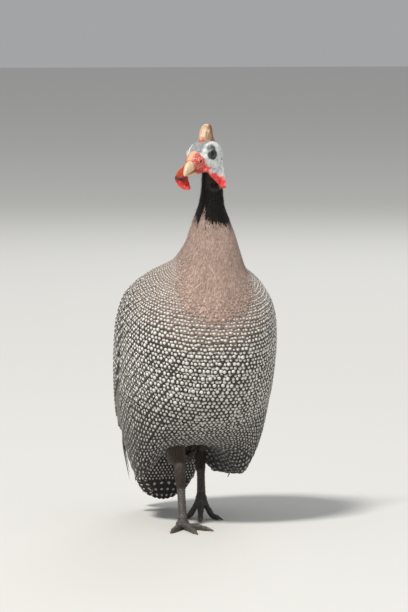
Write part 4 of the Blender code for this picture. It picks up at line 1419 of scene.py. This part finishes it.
def shake(sheet, a, v, w, sideways, lengthwise):
    """The same places, moved a little at random."""
    return (a + random.normal(0, sideways, len(a)) * w / sheet.girth(v),
            v + random.normal(0, lengthwise, len(a)) * w / sheet.pace(a, v))


WING = np.array([
    (-0.048, 0.292), (-0.030, 0.305), (0.010, 0.311), (0.055, 0.293), (0.095, 0.256), (0.120, 0.212),
    (0.132, 0.160), (0.126, 0.112), (0.104, 0.080), (0.078, 0.070), (0.060, 0.082), (0.040, 0.110),
    (0.018, 0.150), (-0.006, 0.200), (-0.030, 0.252),
])
LOWER_EDGE = slice(9, None)
LONG_FEATHERS_LOW, LONG_FEATHERS_HIGH = 0.098, 0.214


def over_wing(sheet, a, v):
    """How far inside the folded wing's outline a place is, seen from the side, and how far
    from its lower edge, in metres. Away from the long feathers the second is a whole metre."""
    point = sheet.at(a, v)[0][:, 1:]
    start, end = WING, np.roll(WING, -1, 0)
    run = end - start
    share = np.clip(((point[:, None] - start) * run).sum(2) / (run * run).sum(1), 0, 1)
    gaps = np.linalg.norm(point[:, None] - start - share[..., None] * run, axis=2)
    gap, from_edge = gaps.min(1), gaps[:, LOWER_EDGE].min(1)
    y, z = point[:, None, 0], point[:, None, 1]
    crosses = (start[:, 1] > z) != (end[:, 1] > z)
    where = start[:, 0] + (z - start[:, 1]) / np.where(run[:, 1] == 0, 1e-9, run[:, 1]) * run[:, 0]
    inside = (crosses & (y < where)).sum(1) % 2 == 1
    height = z[:, 0]
    from_edge = from_edge + 0.024 * fade(height, 0.140, 0.212)
    beside = (height > LONG_FEATHERS_LOW) & (height < LONG_FEATHERS_HIGH)
    return np.where(inside, gap, -gap), np.where(beside, from_edge, 1.0)


body_a, body_v, body_w = tile_rows(body_sheet, 4.9 / BODY_END, 1.0, body_count)
body_a, body_v = shake(body_sheet, body_a, body_v, body_w, 0.05, 0.07)
place = body_sheet.at(body_a, body_v)[0]
body_v = body_v + 0.0046 * noise(place, 0.055, 51) / body_sheet.pace(body_a, body_v)
body_a = body_a + 0.0040 * noise(place, 0.055, 52) / body_sheet.girth(body_v)
body_t, past_edge = body_v * BODY_END, past_collar(body_a % 1.0, body_v * BODY_END)
SHADED_BELLY = (9.6, 12.6)
wing_in, from_edge = over_wing(body_sheet, body_a, body_v)
stations = np.linspace(0, 1, 65)
mean_paces = [body_sheet.mean_pace(v) for v in stations]
stretch = body_sheet.pace(body_a, body_v) / np.interp(body_v, stations, mean_paces)
held_stretch = np.clip(stretch, 0.8, 1.5)
body_tips = {
    "a": body_a, "v": body_v, "half": body_w * HALF_WIDTH,
    "length": body_w * FEATHER_LENGTH * held_stretch * (1 + 0.03 * random.normal(0, 1, len(body_a))),
    "yaw": random.normal(0, 0.035, len(body_a)),
    "lift": random.normal(0, 0.00006, len(body_a)) + 0.0016 * fade(wing_in, -0.002, 0.016),
}
body_vanes = make_vanes(body_sheet, vane_template(6, 6), body_tips)
lilac_end = 3.6 - 2.0 * in_front(body_a % 1.0)
# The shade value varies at random from feather to feather, and falls towards the belly: painted shade where
# the body curves under, and partly the belly's own darker feathers.
body_values = {"lilac": 0.92 * (1 - fade(past_edge / lilac_end, -0.1, 1.0)) ** 1.2,
               "shade": near(1.0, 0.08, len(body_a), 0.7, 1.3) * (1 - 0.58 * fade(body_t, *SHADED_BELLY))}
quill_band = (wing_in > 0.0005) & (from_edge < 0.029 + 0.0015 * random.normal(0, 1, len(body_a)))
use_body = (past_edge > -0.55) & ~quill_band
front = np.abs(body_a % 1.0 - 0.5) < 0.25
print("body feathers:", int(use_body.sum()))
put_vanes("breast_feathers", "plumage", plumage, body_vanes, body_values, use_body & front)
put_vanes("back_feathers", "plumage", plumage, body_vanes, body_values, use_body & ~front)

# %% [markdown]
# ## Collar and neck
# The collar's feathers are narrow and soft, so they hide their own edges and look like
# velvet. Above them the neck has black feathers of the same shape under longer hair-like
# ones, which end in ragged points over the collar, and leave a notch of it showing in front.


# %% Collar feathers
def hackle_outline(v):
    """A narrow pointed feather: widest a third of the way along, then closing in a curve."""
    after = np.clip(1 - (np.clip(v - 0.35, 0, 1) / 0.65) ** 2.2, 0, 1) ** 0.8
    return np.where(v < 0.35, 0.6 + 0.4 * v / 0.35, after)


def black_edge(a):
    """The station where the neck's black ends: a little lower on the left side, with a notch
    in front to the right."""
    return 3.10 + 0.30 * bell(a, 0.34, 0.09) + 0.20 * bell(a, 0.68, 0.03) - 0.75 * bell(a, 0.628, 0.026)


collar_a, collar_v, collar_w = tile_rows(body_sheet, 2.25 / BODY_END, 8.4 / BODY_END,
                                       lambda v: 70 if v * BODY_END < 4.6 else 112, 2.1)
collar_a, collar_v = shake(body_sheet, collar_a, collar_v, collar_w, 0.35, 0.5)
collar_t = collar_v * BODY_END
collar_past = past_collar(collar_a % 1.0, collar_t)
keep = (collar_t > black_edge(collar_a % 1.0) - 0.15) & (collar_past < 0.10)
collar_tips = {
    "a": collar_a, "v": collar_v, "half": collar_w * 1.5,
    "length": collar_w * 8.0 * near(1, 0.15, len(collar_a), 0.6, 1.4) + 0.002,
    "yaw": random.normal(0, 0.06, len(collar_a)), "lift": 0.0002 + random.normal(0, 0.00005, len(collar_a)),
}


def streaks(a, v):
    """Light and dark streaks that run down the collar: noise that changes fast round the
    neck and slowly along it."""
    return 0.13 * noise(np.stack([(a % 1.0) * 60, v * 30, 0 * a], 1), 1.0, 41)


collar_vanes = make_vanes(body_sheet, vane_template(5, 4), collar_tips, depth=0.0017, dome=0.07,
                          outline=hackle_outline)
collar_shade = near(1 + streaks(collar_a, collar_v), 0.07, len(collar_a), 0.7, 1.25)
put_vanes("collar_feathers", "collar_plumage", collar_down, collar_vanes,
          {"barred": fade(collar_past, -1.3, -0.2), "shade": collar_shade}, keep)
on_neck = (collar_t > 2.3) & (collar_t < black_edge(collar_a % 1.0) - 0.05)
put_vanes("neck_hackles", "plumage", neck_black, collar_vanes, chosen=on_neck)


# %% Neck and collar strands
def hair_tips(count, low, high, length, half, lift, spread=0.16):
    """Random places and sizes of hair-like feathers between two shares of the way along."""
    a, v = random.random(count), low + (high - low) * random.random(count)
    return {"a": a, "v": v, "half": half * (0.8 + 0.4 * random.random(count)),
            "length": length * (0.75 + 0.5 * random.random(count)), "yaw": random.normal(0, spread, count),
            "lift": lift * random.random(count)}


def hair_outline(v):
    """A hair-like feather: even, then tapering to a point."""
    return np.clip(1 - np.clip(v - 0.3, 0, 1) / 0.7, 0, 1) ** 0.7


HAIR = vane_template(4, 2)
STRANDS, NECK_HAIRS, TUFTS, NAPE_HAIRS = 7600, 4000, 90, 420


def put_hairs(name, sheet, tips, depth, tip_height=TIP_HEIGHT, chosen=slice(None)):
    """A piece of black hair-like feathers."""
    hairs = make_vanes(sheet, HAIR, tips, depth, tip_height, outline=hair_outline)
    put_vanes(name, "plumage", neck_black, hairs, chosen=chosen)


strand_tips = hair_tips(STRANDS, 2.3 / BODY_END, 8.3 / BODY_END, 0.012, 0.00050, 0.0002, 0.10)
strand_a, strand_t = strand_tips["a"], strand_tips["v"] * BODY_END
strand_past = past_collar(strand_a, strand_t) + random.normal(0, 0.15, STRANDS)
keep = (strand_t > black_edge(strand_a) - 0.1) & (strand_past < -0.05)
strands = make_vanes(body_sheet, HAIR, strand_tips, tip_height=0.0002, outline=hair_outline)
strand_shade = near(1.06 + streaks(strand_a, strand_tips["v"]), 0.09, STRANDS, 0.7, 1.3)
put_vanes("collar_strands", "collar_plumage", collar_down, strands, {"shade": strand_shade}, keep)

neck_tips = hair_tips(NECK_HAIRS, 0.35 / BODY_END, 4.0 / BODY_END, 0.0125, 0.00062, 0.0011)
ragged = random.normal(0, 0.14, NECK_HAIRS)
neck_a, neck_t = neck_tips["a"], neck_tips["v"] * BODY_END
bare_throat = (np.abs(neck_a - 0.5) < 0.17) & (neck_t < 1.25)
keep = (neck_t < black_edge(neck_a) + ragged + 0.10) & ~bare_throat
put_hairs("neck_hairs", body_sheet, neck_tips, 0.0060, 0.0001, keep)

tuft_tips = hair_tips(TUFTS, 0.50 / BODY_END, 3.5 / BODY_END, 0.015, 0.00045, 0.0)
on_left = random.random(TUFTS) < 0.5
left_a, right_a = 0.20 + 0.07 * random.normal(0, 1, TUFTS), 0.78 + 0.05 * random.normal(0, 1, TUFTS)
tuft_tips["a"] = np.where(on_left, left_a, right_a)
tuft_tips["lift"] = 0.0020 + 0.0035 * random.random(TUFTS)
put_hairs("neck_tufts", body_sheet, tuft_tips, 0.0160)

skull_sheet = Sheet(from_head(*skull_ovals(*rings(0, 4, 60, 120))))
nape_tips = hair_tips(NAPE_HAIRS, 0.0, 0.15, 0.006, 0.00032, 0.0010, 0.5)
nape_tips["yaw"] += np.pi
put_hairs("nape_hairs", skull_sheet, nape_tips, 0.0060, 0.0003)

# %% [markdown]
# ## Pearl spots
# The white spots are flat lenses that lie on their feathers. They are meshes and not a
# pattern in the finish, so they stay round and sharp at any size. They
# start as specks below the collar and grow to their full width over the shoulders. Each
# feather shows two rows of them, and all of them together form one even lattice.

# %% Spots
def spot_template(sides):
    """A lens: a ring of points at radius 1, one point above and one below."""
    k = np.arange(sides)
    turn, after = 2 * np.pi * k / sides, (k + 1) % sides
    ring = np.stack([np.cos(turn), np.sin(turn), 0 * turn], 1)
    points = np.concatenate([ring, [[0, 0, 1.0], [0, 0, -1.0]]])
    return points, np.concatenate([np.stack([k, after, 0 * k + sides], 1),
                                   np.stack([after, k, 0 * k + sides + 1], 1)])


SPOT_GAP, SPOT_RISE, SPOT_SINK = 0.00018, 0.00022, 0.0002


def make_spots(sheet, tips, owner, x, y, radius, long, depth=DEPTH):
    """Lenses on vanes: each has an owner vane, a place (x, y) on it from its tip, a radius,
    and a length against its width. A point takes the vane's own height, plus a hair."""
    lens, faces = spot_template(8)
    own_tips = {key: value[owner] for key, value in tips.items()}
    a, v = own_tips["a"], own_tips["v"]
    half, length = own_tips["half"][:, None], own_tips["length"][:, None]
    px = x[:, None] + (radius / long**0.5)[:, None] * lens[:, 0]
    py = y[:, None] + (radius * long**0.5)[:, None] * lens[:, 1]
    height = vane_height(own_tips, px / half, np.clip(1 + py / length, 0, 1), depth)
    height = height + SPOT_GAP + SPOT_RISE * (lens[:, 2] > 0) - SPOT_SINK * (lens[:, 2] < 0)
    points = sheet.lay(a, v, own_tips["yaw"], px, py, height)
    own_map = np.broadcast_to((lens[:, :2] + 1) / 2, (*points.shape[:2], 2))
    return points, faces, own_map, own_patch(a % 1.0 + x / sheet.girth(v), v + y / sheet.pace(a, v), own_map)


SMALLEST_SPOT = 0.00035
SPOT_PLACES = ((0.0, 0.74), (1.0, 0.74), (-0.5, 1.60), (0.5, 1.60))
spot_size = 0.30 * fade(past_edge, -0.45, 0.0) + 0.100 * fade(past_edge, 0.0, 1.3)
spot_size = spot_size - 0.070 * fade(body_t, 10.5, 13.0)
spot_long = 0.48 + 0.52 * fade(past_edge, 0.0, 2.4) + 0.35 * fade(body_t, 10.5, 13.5)
low_body = fade(body_t, 11.5, 13.5)
owner = np.tile(np.arange(len(body_a)), len(SPOT_PLACES))
even_x, even_y = (np.repeat(places, len(body_a)) for places in zip(*SPOT_PLACES))
spot_x = (even_x + random.normal(0, 0.06, len(owner))) * body_w[owner]
spot_y = -(even_y + random.normal(0, 0.06, len(owner))) * body_w[owner] * stretch[owner]
spot_r = body_w[owner] * spot_size[owner] * near(1, 0.12, len(owner), 0.7, 1.25)
spot_r = spot_r * (1 - 0.10 * low_body[owner])
keep = (spot_r > SMALLEST_SPOT) & use_body[owner]
owner = owner[keep]
spots = make_spots(body_sheet, body_tips, owner, spot_x[keep], spot_y[keep], spot_r[keep],
                   (spot_long * held_stretch)[owner])
print("spots:", len(owner))
spot_front = front[owner]
# The spots dim towards the belly: painted shade where the body curves under.
spot_shade = {"shade": 1 - 0.45 * fade(body_t, *SHADED_BELLY)[owner]}
put_vanes("breast_spots", "plumage", pearl, spots, spot_shade, spot_front)
put_vanes("back_spots", "plumage", pearl, spots, spot_shade, ~spot_front)

# %% [markdown]
# ## Wings and tail
# The folded wing lies against the flank, so most of it looks like the rest of the bird. Its
# long feathers show at the lower edge as grey-brown strips with pale bars, and the tips of
# the outermost ones hang free behind the thigh. The tail droops, with spotted feathers
# above and below its long ones.


# %% Long feathers of the wing
PAST_NECK = slice(100, None)
flank_grid = body_sheet.points[PAST_NECK, :-1:3].reshape(-1, 3)
flank_out = body_sheet.normals[PAST_NECK, :-1:3].reshape(-1, 3)
NEARBY = 0.004


def flank_x(side, y, z):
    """How far out the flank lies at points seen from the side: the mean over nearby points
    of the body, each weighted by a bell curve of its distance."""
    body_x, body_y, body_z = flank_grid[flank_out[:, 0] * side > 0.25].T
    gap = (y.ravel()[:, None] - body_y) ** 2 + (z.ravel()[:, None] - body_z) ** 2
    gap = gap - gap.min(1, keepdims=True)
    weight = np.exp(-gap / (2 * NEARBY**2))
    return ((weight * body_x).sum(1) / weight.sum(1)).reshape(y.shape)


def quill_outline(v):
    """A wing feather: even for most of its length, with a narrow root and a rounded tip."""
    tip = np.clip(1 - np.clip((v - 0.80) / 0.20, 0, 1) ** 2.2, 0, 1) ** 0.5
    return tip * (0.75 + 0.25 * fade(v, 0, 0.3))


def own_cells(points, side, vane_map, columns):
    """Long vanes ready to put: each has a large cell of its own on the OFBake map, and the
    right wing's faces are turned round."""
    k = np.arange(len(points))
    cell = np.stack([k % columns, k // columns], 1)[:, None] / columns
    return points, LONG[1] if side > 0 else LONG[1][:, ::-1], vane_map, cell + vane_map * 0.9 / columns


LONG = vane_template(14, 6)
SECONDARIES, QUILL_HALF = 6, 0.0064


def flank_quills(side):
    """Wing feathers laid side by side as straight strips over the flank: each starts deeper
    than the coverts, comes up under them and lies a little over its lower neighbour."""
    u, s = (LONG[0][:, column][None, :, None] for column in (0, 1))
    k = np.arange(SECONDARIES)[:, None, None]
    ahead, across = np.array([0.465, -0.885]), np.array([0.885, 0.465])
    start = np.array([-0.018, 0.236]) + 0.0054 * k * across
    flat = start + ahead * s * (0.192 + 0.0040 * k) + across * u * QUILL_HALF * quill_outline(s)
    height = -0.0034 + (0.0025 + 0.00012 * k) * fade(s, 0.0, 0.35) - 0.0007 * (u * quill_outline(s)) ** 2
    x = flank_x(side, flat[..., 0], flat[..., 1]) + side * height[..., 0]
    vane_map = np.concatenate([(u + 1) / 2 + 0 * k, s + 0.0097 * k], -1)
    return own_cells(np.stack([x, flat[..., 0], flat[..., 1]], -1), side, vane_map, 3)


for side_name, side in SIDES.items():
    put_vanes(f"secondaries_{side_name}", "flight_feathers", flight, flank_quills(side),
              {"shade": near(1, 0.06, SECONDARIES, 0.85, 1.15)})


# %% Free wing tips
TIP_HALF = 0.0056


def free_quills(side):
    """Four outer wing feathers that follow one bent path and fan out from it: each point is
    the path plus a share of its width across and a small step outwards for each feather."""
    t = np.array([2.95, 2.72, 2.50, 2.25])
    across_shift = np.array([0.0015, -0.0035, 0.0045, -0.0070])
    out_shift = np.array([0.0010, 0.0, -0.0010, -0.0019])
    u, s = (LONG[0][:, column][None] for column in (0, 1))
    row = smooth_rows(FLIGHT, s * t[:, None])
    ahead = unit(smooth_rows(FLIGHT, s * t[:, None] + 0.05) - smooth_rows(FLIGHT, s * t[:, None] - 0.05))
    across = unit(np.cross(ahead, np.array([1.0, 0.0, 0.0])))
    out = np.cross(across, ahead)
    out *= np.sign(out[..., :1])
    narrow = np.clip(1 - np.clip((s - 0.45) / 0.55, 0, 1) ** 1.8, 0, 1) ** 0.8
    x = across_shift[:, None] * s + u * TIP_HALF * narrow
    height = out_shift[:, None] - 0.10 * TIP_HALF * (u * narrow) ** 2
    points = row + across * x[..., None] + out * height[..., None]
    points[..., 0] *= side
    vane_map = np.broadcast_to(np.stack([(u[0] + 1) / 2, s[0]], -1), (*points.shape[:2], 2))
    return own_cells(points, side, vane_map, 2)


for side_name, side in SIDES.items():
    put_vanes(f"wing_tips_{side_name}", "flight_feathers", flight, free_quills(side),
              {"shade": np.array([0.95, 0.8, 0.85, 0.75])}, nodes=(f"flight_feathers_{side_name}",))

# %% Tail
tail_a, tail_v, tail_w = tile_rows(tail_sheet, 0.10, 0.80, lambda v: 20)
tail_a, tail_v = shake(tail_sheet, tail_a, tail_v, tail_w, 0.06, 0.08)
tail_tips = {"a": tail_a, "v": tail_v, "half": tail_w * HALF_WIDTH, "length": tail_w * FEATHER_LENGTH,
             "yaw": random.normal(0, 0.05, len(tail_a)),
             "lift": random.normal(0, 0.0001, len(tail_a)) - 0.0004}
# painted shade: the tail's feathers are made darker than the body's.
tail_shade = {"shade": near(0.62, 0.07, len(tail_a), 0.4, 0.8)}
tail_vanes = make_vanes(tail_sheet, vane_template(6, 6), tail_tips)
put_vanes("tail_coverts", "plumage", plumage, tail_vanes, tail_shade)


# painted shade: the spots on the tail are dimmed.
TAIL_SPOT_SHADE = 0.72
owner = np.tile(np.arange(len(tail_w)), len(SPOT_PLACES))
x, y = (np.repeat(places, len(tail_w)) * tail_w[owner] for places in zip(*SPOT_PLACES))
radius = tail_w[owner] * 0.31 * near(1, 0.09, len(owner), 0.7, 1.3)
put_vanes("tail_spots", "plumage", pearl,
          make_spots(tail_sheet, tail_tips, owner, x, -y, radius, np.full(len(owner), 1.25)),
          {"shade": np.full(len(owner), TAIL_SPOT_SHADE)})

# %% Long feathers of the tail
RECTRICES = 7
RECTRIX_STEP, RECTRIX_DEPTH = 0.0030, 0.0045
fan = (np.arange(RECTRICES) - 3) / 3
count = 2 * RECTRICES
rect_tips = {"a": np.concatenate([0.165 * fan, 0.5 + 0.165 * fan]) % 1.0,
             "v": np.tile(0.985 - 0.05 * fan**2, 2),
             "half": np.full(count, 0.0088), "length": np.full(count, 0.075), "yaw": np.tile(-0.10 * fan, 2),
             "lift": np.tile(0.0002 * np.arange(RECTRICES) - 0.0012, 2)}
# painted shade: the long tail feathers are darkened by their shade value.
put_vanes("tail_feathers", "flight_feathers", plumage,
          make_vanes(tail_sheet, LONG, rect_tips, depth=RECTRIX_DEPTH), {"shade": np.full(count, 0.6)})
one_row = ((-2.0, 2.0), (-0.9, 1.5), (0.9, 1.5), (2.0, 2.0))
up_the_vane = [(x, y + 1.7 * k) for k in range(7) for x, y in one_row]
owner = np.tile(np.arange(count), len(up_the_vane))
x, y = (np.repeat(places, count) * RECTRIX_STEP for places in zip(*up_the_vane))
radius, long = np.full(len(owner), 0.00105), np.full(len(owner), 0.75)
put_vanes("tail_feather_spots", "plumage", pearl,
          make_spots(tail_sheet, rect_tips, owner, x, -y, radius, long, RECTRIX_DEPTH),
          {"shade": np.full(len(owner), TAIL_SPOT_SHADE)})

# %% [markdown]
# ## Legs
# Short brown feathers cover the thighs down to the upper shanks. Below them the shanks carry
# rows of overlapping horny plates, and each toe has a row of plates across its top.

# %% Thigh feathers
for side_name, side in SIDES.items():
    leg_path = np.concatenate([THIGHS[side_name], SHANKS[side_name][1:3]])
    leg_sheet = Sheet(tube_points(leg_path, 160, 120))
    a, v, w = tile_rows(leg_sheet, 0.06, 0.97, lambda v: 26 if v < 0.45 else 18)
    a, v = shake(leg_sheet, a, v, w, 0.12, 0.15)
    tips = {"a": a, "v": v, "half": w * 1.25, "length": w * 7.5, "yaw": random.normal(0, 0.10, len(a)),
            "lift": random.normal(0.0001, 0.00015, len(a)) + 0.0012 * fade(v, 0.42, 0.58)}
    vanes = make_vanes(leg_sheet, vane_template(5, 4), tips, depth=0.0028, outline=hackle_outline)
    put_vanes(f"thigh_feathers_{side_name}", "plumage", leg_plumage, vanes,
              {"shade": near(1, 0.12, len(a), 0.7, 1.3)})


# %% Plates of the shanks and toes
def plate_outline(v):
    """A horny plate: nearly square, with rounded lower corners."""
    return np.clip(1 - np.clip((v - 0.55) / 0.45, 0, 1) ** 3.5, 0, 1) ** 0.5 * 0.98


for side_name, side in SIDES.items():
    shank_sheet = Sheet(tube_points(SHANKS[side_name], 160, 96))
    a, v, w = tile_rows(shank_sheet, 0.46, 0.985, lambda v: 7, 1.45)
    tips = {"a": a, "v": v, "half": w * 0.98, "length": w * 2.1, "yaw": 0 * a,
            "lift": np.full(len(a), 0.00045)}
    groups = [make_vanes(shank_sheet, vane_template(4, 4), tips, 0.0016, 0.0001, 0.10, plate_outline)]
    for toe_name, sizes in TOES.items():
        toe_sheet = Sheet(tube_points(toe_rows(side_name, *sizes)[0], 60, 48, 0.0))
        count = 11 if toe_name == "middle" else 9
        top = toe_sheet.points[30, :-1, 2].argmax() / PLACES
        tips = {"a": np.full(count, top), "v": np.linspace(0.16, 0.96, count),
                "half": np.full(count, toe_sheet.girth(0.5) * 0.24), "length": np.full(count, 0.0058),
                "yaw": np.zeros(count), "lift": np.full(count, 0.00030)}
        groups.append(make_vanes(toe_sheet, vane_template(4, 8), tips, DEPTH, 0.0001, 0.0, plate_outline))
    shells, patches = [], []
    for k, (points, faces, _, patch) in enumerate(groups):
        shells.append((points.reshape(-1, 3), [repeat_faces(faces, *points.shape[:2])]))
        patches.append(patch.reshape(-1, 2) * 0.48 + np.array([(k % 2) * 0.5, (k // 2) * 0.5]))
    points, faces = join_shells(shells)
    maps = {"OFBake": np.concatenate(patches)}
    own(put_mesh(f"scutes_{side_name}", points, faces, maps, finish=scute_horn), "leg_scales")

# %% Claws
def put_nail(toe_name, side_name, path, count, sides, flat_at=None):
    """One claw as a thin tube along its path."""
    grid = tube_points(path, count, sides, flat_at)
    own(put_mesh(f"nail_{toe_name}_{side_name}", *shell(grid), finish=claw_horn), "claw_horn",
        f"claw_{toe_name}_{side_name}")


share = np.linspace(0, 1, 6)
for side_name in SIDES:
    for toe_name, sizes in TOES.items():
        rows, away = toe_rows(side_name, *sizes)
        path = nail_rows(rows[-1], away, share, CLAW_LENGTH * share - 0.0015, 0.0003 - 0.0016 * share**2)
        put_nail(toe_name, side_name, path, 40, 32, 0.0)
    put_nail("hind", side_name, hallux_rows(side_name)[1], 30, 24)
